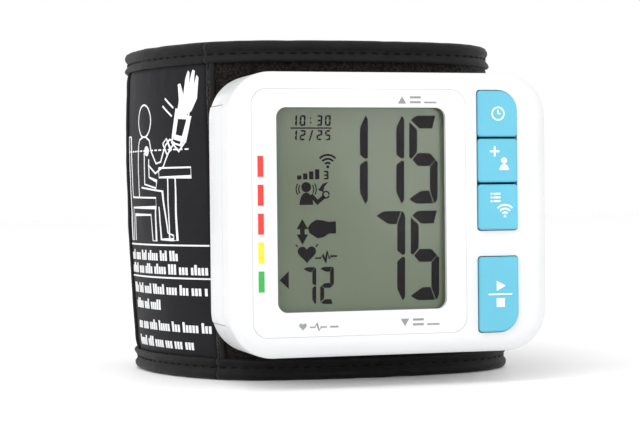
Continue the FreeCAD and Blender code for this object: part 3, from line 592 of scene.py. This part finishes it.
def thickness(along):
    """Full thickness of the padding: thinner in the tail and at the right end."""
    if along < 0:
        return THICKNESS - (THICKNESS - TAIL_THICKNESS) * ease(-along, TAIL_ROOT - 8, TAIL_ROOT - 1)
    return THICKNESS - RIGHT_END_THINNING * ease(along, RIGHT_TIP - 10, RIGHT_TIP)


def outer_relief(along, up):
    """The outer cloth's own shape: pulled in at the stitches, soft ripples between them."""
    edge = min(up, CUFF_HEIGHT - up)
    held = 1 - ease(edge, 4.6, 8.0)
    ripple = 0.16 * wander(along, up, 9.0, 3.1) + 0.07 * wander(along, up, 3.2, 7.7)
    pucker_seed = 41.0 if up > CUFF_HEIGHT / 2 else 52.0
    pucker = 0.16 * wander(along, 0.0, 2.4, pucker_seed) * (1 - ease(edge, 6, 15))
    return 0.35 * held - (ripple + pucker) * (1 - held)


def inner_relief(along, up):
    """The lining, pushed in a little by the air bladder behind it."""
    edge = min(up, CUFF_HEIGHT - up)
    full = ease(edge, 5.0, 16.0)
    bladder = 0.9 if -TAIL_ROOT + 12 < along < RIGHT_TIP - 14 else 0.0
    ripple = 0.25 * wander(along, up, 11.0, 12.4) + 0.12 * wander(along, up, 4.0, 5.2)
    return full * (bladder + ripple) - 0.25 * (1 - full)


def padded_section(name, first, last, outer_material, inner_material):
    """A closed padded shell between two places along the cuff."""
    columns = steps(first, last, CLOTH_STEP)
    rows = steps(EDGE_INSET, CUFF_HEIGHT - EDGE_INSET, CLOTH_STEP)
    vertices = []
    layout = []
    for face in (0, 1):
        for along in columns:
            for up in rows:
                if face == 0:
                    depth = outer_relief(along, up)
                else:
                    depth = thickness(along) + inner_relief(along, up)
                vertices.append(cuff_point(along, up, depth))
                layout.append((along, up))
    faces = shell_faces(len(columns), len(rows), last < first)
    piece = make_piece(name, vertices, faces, outer_material, layout)
    piece.data.materials.append(inner_material)
    cloth_faces = 2 * (len(columns) - 1) * (len(rows) - 1)
    for index, polygon in enumerate(piece.data.polygons):
        polygon.material_index = 1 if index < cloth_faces and index % 2 else 0
        polygon.use_smooth = index < cloth_faces
    return piece


FLEX_SPAN = 14.0
FOLD_SPAN = 7.0


def cuff_place(along, depth=0.0):
    """A place on the loop at half height, in metres, for the ends of a bend."""
    return tuple(value * MM for value in cuff_point(along, CUFF_HEIGHT / 2, depth))


def ride_left(piece):
    """Cloth on the cuff's left side: bakes its transform into its mesh. The places at the ends of its bend
    from the monitor's front section are worked out but not used.
    """
    cuff_place(-SEAM)
    cuff_place(-SEAM - FLEX_SPAN)
    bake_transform(piece)


def ride_tail(piece):
    """Cloth of the cuff's closing tail: bakes its transform into its mesh. The places at the ends of its
    fold from the cuff's left side are worked out but not used.
    """
    cuff_place(-TAIL_ROOT + FOLD_SPAN)
    cuff_place(-TAIL_ROOT - FOLD_SPAN)
    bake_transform(piece)


def cuff_padding():
    loop = MATERIALS["loop_fabric"]
    panel = MATERIALS["panel_fabric"]
    lining = MATERIALS["lining_fabric"]
    front = padded_section("front_padding", -SEAM, RIGHT_TIP - EDGE_INSET, loop, lining)
    left = padded_section("left_padding", -SEAM, -PANEL_END, panel, lining)
    back = padded_section("tail_padding", -PANEL_END, -TAIL_TIP + EDGE_INSET, loop, lining)
    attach(front, "root")
    ride_left(left)
    ride_tail(back)
    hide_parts("front_fabric", "front_lining", "front_stiffener", "front_bladder")
    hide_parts("left_fabric", "left_lining", "left_stiffener", "left_bladder")
    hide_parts("tail_fabric_panel", "tail_lining")


cuff_padding()

# ---- bindings

BINDING_DEPTH = 5.2
STITCH_LINE = 3.1
TIP_CORNER = 4.0
CORNER_STEPS = 10
BINDING_STEP = 0.9


def binding_profile(thick):
    """The tape's section round the cuff's edge, as (in from the edge, in from the outer face)."""
    outer = [(5.2, 0.15), (5.25, -0.35), (4.9, -0.72), (4.35, -0.72), (3.8, -0.38), (3.1, 0.0),
             (2.4, -0.40), (1.8, -0.78), (1.1, -0.78), (0.5, -0.45), (0.12, 0.25), (0.0, 1.0)]
    inner = [(across, thick - depth) for across, depth in reversed(outer)]
    return outer + inner


def edge_route(kind, first, last):
    """Stations along a bound edge: (along, up, along step inwards, up step inwards)."""
    def level(start, end, up, up_in):
        return [(along, up, 0.0, up_in) for along in steps(start, end, BINDING_STEP)]

    if kind == "top":
        return level(first, last, CUFF_HEIGHT, -1.0)
    if kind == "bottom":
        return level(first, last, 0.0, 1.0)
    way = 1 if last > first else -1
    straight_end = last - way * TIP_CORNER
    angles = [math.pi / 2 * index / CORNER_STEPS for index in range(1, CORNER_STEPS)]
    bends = [(math.sin(angle), math.cos(angle)) for angle in angles]
    route = level(first, straight_end, CUFF_HEIGHT, -1.0)
    route += [(last - way * TIP_CORNER * (1 - sine), CUFF_HEIGHT - TIP_CORNER * (1 - cosine),
               -way * sine, -cosine) for sine, cosine in bends]
    route += [(last, up, -way, 0.0)
              for up in steps(CUFF_HEIGHT - TIP_CORNER, TIP_CORNER, BINDING_STEP)]
    route += [(last - way * TIP_CORNER * (1 - cosine), TIP_CORNER * (1 - sine),
               -way * cosine, sine) for sine, cosine in bends]
    return route + level(straight_end, first, 0.0, 1.0)


def binding(name, kind, first, last):
    route = edge_route(kind, first, last)
    vertices = []
    layout = []
    travelled = 0.0
    previous = route[0]
    for along, up, along_in, up_in in route:
        travelled += math.hypot(along - previous[0], up - previous[1])
        previous = (along, up)
        profile = binding_profile(thickness(along))
        for step, (across, depth) in enumerate(profile):
            station = along - up
            pucker = 0.10 * wander(station, across, 1.6, 21.0) + 0.16 * wander(station, across, 7.0, 2.0)
            near_floor = up < 0.5 and across < 0.6
            shift = 0.0 if near_floor else pucker
            middle = thickness(along) / 2
            deeper = shift if depth > middle else -shift
            across_here = max(across + 0.12 * wander(station, 0.0, 5.0, 9.0), 0.0)
            point_along = along + along_in * across_here
            point_up = min(max(up + up_in * across_here, 0.0), CUFF_HEIGHT + 0.2)
            vertices.append(cuff_point(point_along, point_up, depth + deeper))
            layout.append((travelled, across if depth < middle else 14 - across))
    faces = tube_faces(len(route), len(profile))
    piece = make_piece(name, vertices, faces, MATERIALS["binding_tape"], layout)
    for cap in piece.data.polygons[-2:]:
        cap.use_smooth = False
    return piece


STITCH_PITCH = 2.9
STITCH_LENGTH = 2.0
STITCH_RADIUS = 0.27
STITCH_RINGS = 5
STITCH_SIDES = 6


def stitches(name, kind, first, last):
    """A row of thread dashes sunk in the binding's groove, on both faces."""
    route = edge_route(kind, first, last)
    marks = [0.0]
    for here, there in zip(route, route[1:]):
        marks.append(marks[-1] + math.hypot(there[0] - here[0], there[1] - here[1]))

    def station(distance):
        for index in range(len(marks) - 1):
            if distance <= marks[index + 1]:
                share = (distance - marks[index]) / max(1e-9, marks[index + 1] - marks[index])
                return [a + (b - a) * share for a, b in zip(route[index], route[index + 1])]
        return list(route[-1])

    vertices = []
    faces = []
    count = int(marks[-1] / STITCH_PITCH)
    for number in range(count):
        centre = (number + 0.5) * marks[-1] / count
        skew = 0.25 * wander(centre, 0.0, 1.3, 31.0)
        for face in (0, 1):
            base = len(vertices)
            for ring in range(STITCH_RINGS):
                share = ring / (STITCH_RINGS - 1) * 2 - 1
                along, up, along_in, up_in = station(centre + share * STITCH_LENGTH / 2)
                swell = STITCH_RADIUS * math.sqrt(max(0.08, 1 - share * share * 0.92))
                sink = 0.14 * share * share
                for side in range(STITCH_SIDES):
                    angle = 2 * math.pi * side / STITCH_SIDES
                    across = STITCH_LINE + skew * share + swell * math.cos(angle)
                    rise = swell * math.sin(angle) * 0.9 - sink + 0.10
                    depth = -rise if face == 0 else thickness(along) + rise
                    vertices.append(cuff_point(along + along_in * across, up + up_in * across, depth))
            dash = tube_faces(STITCH_RINGS, STITCH_SIDES)
            faces += [tuple(base + index for index in quad) for quad in dash]
    return make_piece(name, vertices, faces, THREAD)


def cuff_bindings():
    front = binding("front_binding", "round", -SEAM, RIGHT_TIP)
    front_thread = stitches("front_stitches", "round", -SEAM, RIGHT_TIP)
    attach(front, "root")
    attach(front_thread, "root")
    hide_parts("front_top_binding", "front_bottom_binding")
    for edge in ("top", "bottom"):
        left = binding(f"left_{edge}_tape", edge, -SEAM, -PANEL_END)
        left_thread = stitches(f"left_{edge}_stitches", edge, -SEAM, -PANEL_END)
        ride_left(left)
        ride_left(left_thread)
        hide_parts(f"left_{edge}_binding")
    tail = binding("tail_binding", "round", -PANEL_END, -TAIL_TIP)
    tail_thread = stitches("tail_stitches", "round", -PANEL_END, -TAIL_TIP)
    ride_tail(tail)
    ride_tail(tail_thread)
    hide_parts("tail_top_binding", "tail_bottom_binding")


cuff_bindings()

# ---- seam strips


def upright_strip(name, centre, width, height):
    """A folded strip sewn upright on the cuff's outer face."""
    profile = [(-0.5, -0.25), (-0.5, 0.35), (-0.36, 0.75), (-0.12, 0.95), (0.12, 0.95), (0.36, 0.75),
               (0.5, 0.35), (0.5, -0.25)]
    vertices = []
    layout = []
    rows = steps(BINDING_DEPTH - 0.6, CUFF_HEIGHT - BINDING_DEPTH + 0.6, 1.0)
    for up in rows:
        sway = 0.12 * wander(centre, up, 8.0, 4.0)
        for across, rise in profile:
            along = centre + across * width + sway
            vertices.append(cuff_point(along, up, outer_relief(along, up) - rise * height))
            layout.append((up, across * width))
    faces = tube_faces(len(rows), len(profile))
    return make_piece(name, vertices, faces, MATERIALS["binding_tape"], layout)


def seam_strips():
    front = upright_strip("front_seam_tape", -SEAM + 1.8, 1.6, 0.7)
    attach(front, "root")
    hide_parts("front_seam_strip")
    left = upright_strip("left_seam_tape", -PANEL_END, 1.5, 0.6)
    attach(left, "cuff_left")
    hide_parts("left_seam_strip")


seam_strips()

# ---- printed shapes


def stroke(points, width):
    """A line of a width, as quads joined end to end."""
    sides = []
    for index, (x, y) in enumerate(points):
        before = points[max(0, index - 1)]
        after = points[min(len(points) - 1, index + 1)]
        run = Vector((after[0] - before[0], after[1] - before[1])).normalized()
        into = Vector((x - before[0], y - before[1]))
        miter = 1.0
        if into.length > 1e-9:
            miter = 1 / max(0.5, abs(into.normalized().dot(run)))
        offset = Vector((-run.y, run.x)) * (width / 2 * miter)
        sides.append(((x + offset.x, y + offset.y), (x - offset.x, y - offset.y)))
    return [[here[0], here[1], there[1], there[0]] for here, there in zip(sides, sides[1:])]


def strokes(lines, width):
    return [quad for points in lines for quad in stroke(points, width)]


def arc_points(x, y, radius, first, last, count=10, squeeze=1.0):
    """Points on an arc, its angles in degrees from +X."""
    angles = [math.radians(first + (last - first) * step / count) for step in range(count + 1)]
    return [(x + radius * math.cos(a), y + radius * squeeze * math.sin(a)) for a in angles]


def disc(x, y, radius):
    return arc_points(x, y, radius, 0, 345, 23)


def bar(x, y, width, height):
    return [(x, y), (x + width, y), (x + width, y + height), (x, y + height)]


def inked(name, shapes, place, material, longest=None):
    """Thin closed prints from flat outlines; place turns (x, y, lift) into a point of the object."""
    mesh = bmesh.new()
    for shape in shapes:
        mesh.faces.new([mesh.verts.new((x, y, 0)) for x, y in shape])
    bmesh.ops.remove_doubles(mesh, verts=mesh.verts, dist=1e-4)
    bmesh.ops.triangulate(mesh, faces=mesh.faces[:])
    while longest:
        long_edges = [edge for edge in mesh.edges if edge.calc_length() > longest]
        if not long_edges:
            break
        bmesh.ops.subdivide_edges(mesh, edges=long_edges, cuts=1)
        bmesh.ops.triangulate(mesh, faces=mesh.faces[:])
    lifted = bmesh.ops.extrude_face_region(mesh, geom=mesh.faces[:], use_keep_orig=True)
    for item in lifted["geom"]:
        if isinstance(item, bmesh.types.BMVert):
            item.co.z = 1.0
    for vertex in mesh.verts:
        vertex.co = Vector(place(vertex.co.x, vertex.co.y, vertex.co.z)) * MM
    bmesh.ops.recalc_face_normals(mesh, faces=mesh.faces[:])
    data = bpy.data.meshes.new(name)
    mesh.to_mesh(data)
    mesh.free()
    data.materials.append(material)
    piece = add_object(name, data)
    return piece


def on_face(depth, proud, sunk=0.05):
    """Prints on a flat surface that is a depth behind the monitor's front."""
    def place(x, y, lift):
        return (FACE_X + x, FACE_Y + depth + sunk - (proud + sunk) * lift, FACE_Z + y)
    return place


# ---- seven-segment figures

LIT = {"0": "abcdef", "1": "bc", "2": "abged", "3": "abgcd", "5": "afgcd", "7": "abc"}


def upright_segment(outer, inner, corner, middle, line_depth, corner_lit, middle_lit):
    """A vertical segment, from its corner of the figure to the figure's middle."""
    reach = abs(corner - middle)
    way = 1 if corner > middle else -1
    to_right = outer > inner
    if not corner_lit:
        end = [(0, reach * 0.09), (0.3, 0), (1, reach * 0.27)]
    elif to_right:
        end = [(0, line_depth * 0.4), (0.3, line_depth * 0.04), (0.44, line_depth * 0.04), (1, line_depth)]
    else:
        end = [(0, line_depth * 0.5), (1, line_depth * 1.08)]
    shoulder = line_depth * 0.58 if middle_lit else reach * 0.12
    heel = [(1, reach - shoulder), (0.3, reach * 0.984), (0, reach * 0.95)]
    return [(outer + (inner - outer) * share, corner - way * fall) for share, fall in end + heel]


def level_segment(outer, inner, left, right, line, left_lit, right_lit):
    """The top or bottom segment of a figure; an end with no lit neighbour is pointed or cut aslant."""
    ridge = outer + (inner - outer) * 0.35
    shapes = [(left + line * (0.2 if left_lit else 0.0), ridge), (left + line * 0.9, outer)]
    if right_lit:
        shapes += [(right - line * 0.52, outer), (right - line * 1.1, inner)]
    else:
        shapes += [(right - line * 0.3, outer), (right - line * 0.72, inner)]
    return shapes + [(left + line * (1.3 if left_lit else 1.5), inner)]


def middle_segment(left, right, middle, line, line_depth):
    half = line_depth / 2
    return [(left + line * 0.42, middle), (left + line * 1.1, middle + half),
            (right - line, middle + half), (right - line * 0.28, middle),
            (right - line, middle - half), (left + line * 1.1, middle - half)]


def figure(number, left, bottom, width, height, line, line_depth, slant=0.012):
    """The lit segments of one figure. line is an upright's width, line_depth a level segment's."""
    lit = LIT[number]
    top = bottom + height
    middle = bottom + height / 2
    right = left + width
    shapes = []
    for segment in lit:
        if segment in "bcef":
            outer, inner = (right, right - line) if segment in "bc" else (left, left + line)
            corner = top if segment in "bf" else bottom
            corner_lit = ("a" if segment in "bf" else "d") in lit
            shapes.append(upright_segment(outer, inner, corner, middle, line_depth, corner_lit, "g" in lit))
        elif segment == "g":
            shapes.append(middle_segment(left, right, middle, line, line_depth))
        else:
            outer, way = (top, -1) if segment == "a" else (bottom, 1)
            sides = ("f", "b") if segment == "a" else ("e", "c")
            shapes.append(level_segment(outer, outer + way * line_depth, left, right, line,
                                        sides[0] in lit, sides[1] in lit))
    return [[(x + slant * (y - bottom), y) for x, y in shape] for shape in shapes]


def small_figures(text, left, bottom, height, pitch):
    shapes = []
    for index, number in enumerate(text):
        x = left + pitch * index
        if number in LIT:
            shapes += figure(number, x, bottom, height * 0.56, height, height * 0.17, height * 0.17, 0.06)
        elif number == ":":
            shapes += [bar(x + 0.5, bottom + height * share, 0.34, 0.34) for share in (0.25, 0.65)]
        elif number == "/":
            shapes += stroke([(x + 0.3, bottom - 0.1), (x + 1.1, bottom + height)], 0.34)
    return shapes


# ---- the display's figures and signs


def person_sign(x, y, size):
    """Head and shoulders."""
    shoulders = arc_points(x, y, size * 0.42, 0, 180, 12, 1.15)
    return [disc(x, y + size * 0.78, size * 0.25), shoulders]


def heart_sign(x, y, size):
    points = []
    for step in range(28):
        turn = 2 * math.pi * step / 28
        across = 16 * math.sin(turn) ** 3
        up = 13 * math.cos(turn) - 5 * math.cos(2 * turn) - 2 * math.cos(3 * turn) - math.cos(4 * turn)
        points.append((x + across * size / 34, y + (up + 2.5) * size / 34))
    return [points]


def wave_sign(x, y, size, width):
    """Three arcs over a dot: a generic sign for wireless."""
    shapes = [disc(x, y, width * 0.75)]
    for ring in (1, 2, 3):
        shapes += stroke(arc_points(x, y, size * ring / 3, 45, 135, 8), width)
    return shapes


def arrow_sign(x, low, high, width):
    head = width * 0.85
    half = width / 2
    stem = width * 0.2
    return [[(x, high), (x - half, high - head), (x - stem, high - head), (x - stem, low + head),
             (x - half, low + head), (x, low), (x + half, low + head), (x + stem, low + head),
             (x + stem, high - head), (x + half, high - head)]]


def hand_sign(x, y, size):
    """A resting hand, seen from its side, with the thumb on top."""
    outline = [(0.0, 0.10), (0.10, 0.24), (0.30, 0.36), (0.52, 0.34), (0.72, 0.28), (1.0, 0.30),
               (1.0, -0.12), (0.74, -0.12), (0.56, -0.24), (0.34, -0.28), (0.22, -0.20), (0.04, -0.08)]
    return [[(x + across * size, y + up * size) for across, up in outline]]


def display_signs():
    shapes = []
    # readings
    for number, left in (("1", -11.9), ("1", -3.2), ("5", 4.9)):
        shapes += figure(number, left, 1.75, 6.9, 20.15, 1.9, 2.95)
    for number, left in (("7", -3.2), ("5", 5.05)):
        shapes += figure(number, left, -20.4, 6.9, 20.5, 1.9, 2.95)
    shapes += figure("7", -20.45, -20.7, 3.0, 8.4, 0.9, 1.1)
    shapes += figure("2", -16.5, -20.7, 3.2, 8.4, 0.9, 1.1)
    # clock and date
    shapes += small_figures("10:30", -22.9, 19.55, 2.4, 1.97)
    shapes += stroke([(-23.0, 19.05), (-13.4, 19.05)], 0.3)
    shapes += small_figures("12/25", -22.9, 16.3, 2.3, 1.97)
    # signs
    shapes += wave_sign(-14.4, 10.3, 2.7, 0.46)
    shapes += [bar(-21.6 + 1.4 * step, 7.5, 1.0, 0.9 + 0.45 * step) for step in range(4)]
    shapes += figure("3", -15.5, 7.45, 1.25, 1.95, 0.4, 0.4, 0.0)
    shapes += [disc(-19.5, 5.75, 1.15), arc_points(-19.5, 1.75, 1.6, 0, 180, 14, 1.75)]
    for side in (-1, 1):
        for reach in (1.75, 2.35):
            middle = 0 if side > 0 else 180
            shapes += stroke(arc_points(-19.5, 5.3, reach, middle - 32, middle + 32, 6), 0.26)
    shapes += stroke([(-18.4, 4.0), (-16.9, 2.3), (-15.2, 3.7)], 0.9)
    shapes += stroke(arc_points(-14.9, 4.0, 0.75, 0, 345, 15), 0.34)
    shapes += [[(-16.7, 5.1), (-15.6, 6.5), (-14.3, 6.9), (-15.2, 5.9), (-15.4, 5.2), (-15.5, 4.6)]]
    shapes += arrow_sign(-20.5, -7.2, -1.4, 2.7)
    shapes += hand_sign(-19.2, -4.0, 6.6)
    shapes += heart_sign(-19.5, -9.55, 4.6)
    for side in (-1, 1):
        shapes += stroke([(-19.5 + side * 2.1, -7.7), (-19.5 + side * 2.6, -7.15)], 0.3)
    shapes += stroke([(-17.6, -10.3), (-16.3, -10.3), (-15.8, -9.5), (-15.2, -11.3), (-14.7, -8.7),
                      (-14.2, -10.5), (-13.9, -9.9), (-12.4, -9.9)], 0.36)
    shapes += [[(-25.9, -15.1), (-23.8, -13.1), (-23.8, -17.1)]]
    glass_front = box_mm("display_glass")[0][1] - FACE_Y
    piece = inked("display_figures", shapes, on_face(glass_front, 0.05, 0.02), DISPLAY_INK)
    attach(piece, "root")


display_signs()


def reading_sign(x, foot, rise):
    """A triangle that points up or down, with two bars and a dash."""
    low = min(foot, foot + rise) + 0.1
    return [[(x, foot), (x + 2.0, foot), (x + 1.0, foot + rise)], bar(x + 2.9, low, 2.6, 0.5),
            bar(x + 2.9, low + 1.1, 2.6, 0.5), bar(x + 6.3, low, 3.0, 0.4)]


def housing_labels():
    """Small grey signs beside the display: upper reading, lower reading, pulse."""
    shapes = reading_sign(1.7, 24.5, 1.7) + reading_sign(1.9, -24.4, -1.7)
    shapes += heart_sign(-21.2, -25.6, 1.9)
    shapes += stroke([(-19.6, -25.7), (-18.4, -25.7), (-18.0, -24.8), (-17.4, -26.5), (-17.0, -25.7),
                      (-15.6, -25.7)], 0.3)
    shapes += [bar(-14.9, -25.9, 2.0, 0.4)]
    piece = inked("housing_labels", shapes, on_face(0, 0.03), GREY_INK)
    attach(piece, "root")


housing_labels()

# ---- button signs


def button_middle(name):
    low, high = box_mm(name)
    return (low[0] + high[0]) / 2 - FACE_X, (low[2] + high[2]) / 2 - FACE_Z


def plus_sign(x, y):
    reach = 1.15
    half = 0.22
    return [bar(x - reach, y - half, 2 * reach, 2 * half), bar(x - half, y - reach, 2 * half, reach - half),
            bar(x - half, y + half, 2 * half, reach - half)]


def button_signs():
    line = 0.34
    signs = {}
    x, y = button_middle("clock_button")
    ring = arc_points(x, y, 1.45, 0, 360, 28)
    signs["clock"] = stroke(ring, line) + stroke([(x, y + 0.85), (x, y), (x + 0.65, y)], line)
    x, y = button_middle("user_button")
    signs["user"] = plus_sign(x - 0.9, y + 2.1) + person_sign(x + 1.4, y - 2.2, 2.8)
    x, y = button_middle("memory_button")
    signs["memory"] = []
    for level in range(3):
        signs["memory"] += [bar(x - 2.0, y + 1.15 + level * 0.85, 0.42, 0.42),
                            bar(x - 1.3, y + 1.15 + level * 0.85, 1.7, 0.42)]
    signs["memory"] += wave_sign(x + 1.5, y - 2.1, 2.6, 0.4)
    x, y = button_middle("start_button")
    signs["start"] = [bar(x - 2.7, y - 0.15, 5.8, 0.32)]
    signs["start"] += [[(x - 0.7, y + 0.8), (x + 1.5, y + 1.95), (x - 0.7, y + 3.1)]]
    signs["start"] += [bar(x - 0.75, y - 2.9, 2.0, 2.0)]
    for name, shapes in signs.items():
        front = box_mm(name + "_button")[0][1] - FACE_Y
        piece = inked(name + "_sign", shapes, on_face(front, 0.03), BUTTON_INK)
        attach(piece, name + "_button")


button_signs()

# ---- the printed panel


FINE_LINE = 0.42
PRINT_LEFT = 3.2
PRINT_RIGHT = 41.6
LEFT_MARGIN = 1.4
RIGHT_MARGIN = 0.7
PRINT_SQUEEZE = (PANEL_END - SEAM - LEFT_MARGIN - RIGHT_MARGIN) / (PRINT_RIGHT - PRINT_LEFT)


def on_panel(x, y, lift):
    """x runs left to right as the panel is read, y is the height."""
    along = -PANEL_END + LEFT_MARGIN + (x - PRINT_LEFT) * PRINT_SQUEEZE
    return cuff_point(along, y, outer_relief(along, y) + 0.06 - 0.13 * lift)


def greeked_line(left, right, middle, height, seed):
    """A line of blank print: word-long groups of short blocks."""
    shapes = []
    x = left
    count = 0
    while x < right - 0.9:
        sway = wander(x * 3.7, middle, 1.0, seed)
        top = height * (0.72 if sway < 0.12 else 1.0)
        shapes.append(bar(x, middle - height / 2, 0.82, top))
        count += 1
        x += 1.16
        if count >= 3 + round(3 * abs(wander(x, middle, 2.3, seed + 4))) * 2:
            x += 0.85
            count = 0
    return shapes


def seated_figure():
    """Line drawing of someone seated at a desk with one forearm raised to chest height."""
    head_and_arms = [
        arc_points(16.4, 62.9, 4.0, 0, 360, 30),
        [(12.6, 57.0), (12.0, 52.0), (12.4, 44.0)],
        [(15.6, 58.9), (13.4, 58.3), (12.6, 57.0)],
        [(17.4, 58.9), (19.4, 58.0), (20.2, 55.4)],
        [(20.2, 55.4), (22.8, 52.2), (25.2, 52.6), (27.4, 56.6), (29.2, 58.0)],
        [(18.6, 52.0), (22.4, 49.8), (26.4, 51.4), (28.8, 55.0), (31.0, 57.2), (29.2, 58.0)],
        [(16.2, 55.0), (16.2, 47.2), (22.6, 46.2), (23.0, 47.9), (18.9, 48.9), (18.9, 53.4)],
    ]
    heart = disc(17.7, 55.4, 1.25)
    leg = [(14.2, 46.4), (22.0, 45.7), (25.6, 45.4), (27.4, 35.2), (29.6, 34.6), (29.6, 33.6), (24.4, 33.6),
           (23.8, 41.6)]
    chair = [
        [(3.4, 59.3), (5.6, 59.3), (6.8, 44.0), (22.4, 43.8), (22.4, 41.4), (6.6, 41.4), (6.6, 33.2),
         (4.8, 33.2), (3.4, 59.3)],
        [(8.2, 33.2), (8.4, 39.6), (19.6, 39.6), (20.0, 33.2), (22.0, 33.2), (22.0, 41.4)],
    ]
    desk = [
        [(24.2, 51.1), (36.6, 51.1), (36.6, 48.8), (24.2, 48.8), (24.2, 51.1)],
        [(28.0, 48.8), (28.0, 33.4), (31.0, 33.4), (31.0, 48.8)],
    ]
    monitor = [(26.2, 57.0), (28.0, 54.4), (29.6, 55.4), (27.8, 58.2), (26.2, 57.0)]
    return strokes(head_and_arms, FINE_LINE) + [heart] + strokes([leg, *chair, *desk, monitor], FINE_LINE)


def dashed_line(height):
    return [bar(PRINT_LEFT + 2.1 * step, height - 0.18, 1.3, 0.36) for step in range(16)]


def hand_with_monitor():
    """An open hand above a forearm that wears a small square monitor."""
    palm = [(32.2, 64.2), (33.0, 67.2), (32.7, 71.2), (33.6, 71.4), (34.6, 68.6), (35.4, 72.4),
            (36.4, 74.4), (37.0, 73.9), (36.9, 71.2), (38.0, 74.5), (38.8, 74.2), (38.4, 70.8),
            (39.4, 73.2), (40.0, 72.6), (39.4, 67.6), (37.4, 64.6), (35.0, 63.4)]
    forearm = [(30.0, 57.2), (33.4, 56.4), (36.6, 64.2), (32.0, 65.2), (30.0, 57.2)]
    monitor = [(30.8, 58.6), (34.6, 57.8), (36.6, 63.0), (32.0, 63.6), (30.8, 58.6)]
    sleeve = [(29.8, 57.4), (32.6, 55.0), (35.0, 57.4)]
    gap_marks = [[(26.4, 66.2), (30.2, 63.6)], [(27.4, 68.0), (30.8, 65.6)]]
    return [palm] + stroke(forearm, 0.45) + stroke(monitor, 1.3) + strokes([sleeve, *gap_marks], 0.45)


def panel_print():
    shapes = seated_figure() + dashed_line(55.5) + hand_with_monitor()
    for height in (32.2, 24.2):
        shapes.append(bar(PRINT_LEFT, height - 0.2, PRINT_RIGHT - PRINT_LEFT, 0.4))
    lines = ((3.6, 31.0, 29.6), (3.6, 41.0, 26.3), (4.6, 40.6, 21.3), (5.6, 23.0, 17.4),
             (6.2, PRINT_RIGHT, 12.3), (6.6, 36.0, 8.1))
    for number, (left, right, middle) in enumerate(lines):
        shapes += greeked_line(left, right, middle, 2.5, number + 1.0)
    piece = inked("panel_print", shapes, on_panel, WHITE_INK, 1.2)
    ride_left(piece)


panel_print()

# ---- hook patch under the tail

HOOK_STEP = 1.2
HOOK_MARGIN = 2.0
HOOK_DEPTH = 0.75


def hook_patch():
    """Hook fabric sewn inside the tail, which grips the loop pile of the cuff's right end."""
    first = LEFT.distance_at(BACK_TURN + 10)
    last = LEFT.distance_at(TAIL_TIP_TURN - 3)
    columns = steps(-first, -last, HOOK_STEP)
    rows = steps(BINDING_DEPTH + HOOK_MARGIN, CUFF_HEIGHT - BINDING_DEPTH - HOOK_MARGIN, HOOK_STEP)
    vertices = []
    layout = []
    for lift in (0.0, HOOK_DEPTH):
        for along in columns:
            for up in rows:
                inner = TAIL_THICKNESS + inner_relief(along, up)
                vertices.append(cuff_point(along, up, inner - 0.1 + lift))
                layout.append((along, up))
    faces = shell_faces(len(columns), len(rows))
    piece = make_piece("hook_patch", vertices, faces, MATERIALS["hook_fabric"], layout)
    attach(piece, "cuff_tail")
    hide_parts("hook_pad")


hook_patch()

# ---- light, floor


def add_area(name, place, target, size, power, color=(1, 1, 1)):
    data = bpy.data.lights.new(name, "AREA")
    data.shape = "RECTANGLE"
    data.size, data.size_y = size
    data.energy = power
    data.color = color
    light = add_object(name, data)
    light.location = place
    aim = Vector(target) - Vector(place)
    light.rotation_euler = aim.to_track_quat("-Z", "Y").to_euler()
    return light


def add_stage():
    reach = 3.0
    mesh = bpy.data.meshes.new("floor")
    mesh.from_pydata([(-reach, -reach, 0), (reach, -reach, 0), (reach, reach, 0), (-reach, reach, 0)], [],
                     [(0, 1, 2, 3)])
    floor = add_object("floor", mesh)
    shader = Shader("floor", (0.9, 0.9, 0.9), 0.6, Emission_Color=(1, 1, 1, 1), Emission_Strength=0.07)
    mesh.materials.append(shader.material)
    world = bpy.data.worlds.new("studio")
    bpy.context.scene.world = world
    world.use_nodes = True
    background = world.node_tree.nodes["Background"]
    background.inputs["Color"].default_value = (1, 1, 1, 1)
    background.inputs["Strength"].default_value = 1.0
    add_area("key", (-0.45, -0.55, 0.95), (0, 0, 0.04), (0.6, 0.6), 4.2)
    add_area("fill", (-0.9, -0.1, 0.35), (0, 0, 0.04), (0.5, 0.5), 1.6)
    card = add_area("card", (0.525, -1.15, 0.205), (0, 0, 0), (0.5, 0.5), 2.5)
    card.matrix_world = (Matrix.Translation(card.location) @ Matrix.Rotation(math.radians(49), 4, "Y")
                         @ Matrix.Rotation(math.radians(90), 4, "X"))
    bpy.context.scene.view_settings.view_transform = "Standard"


add_stage()
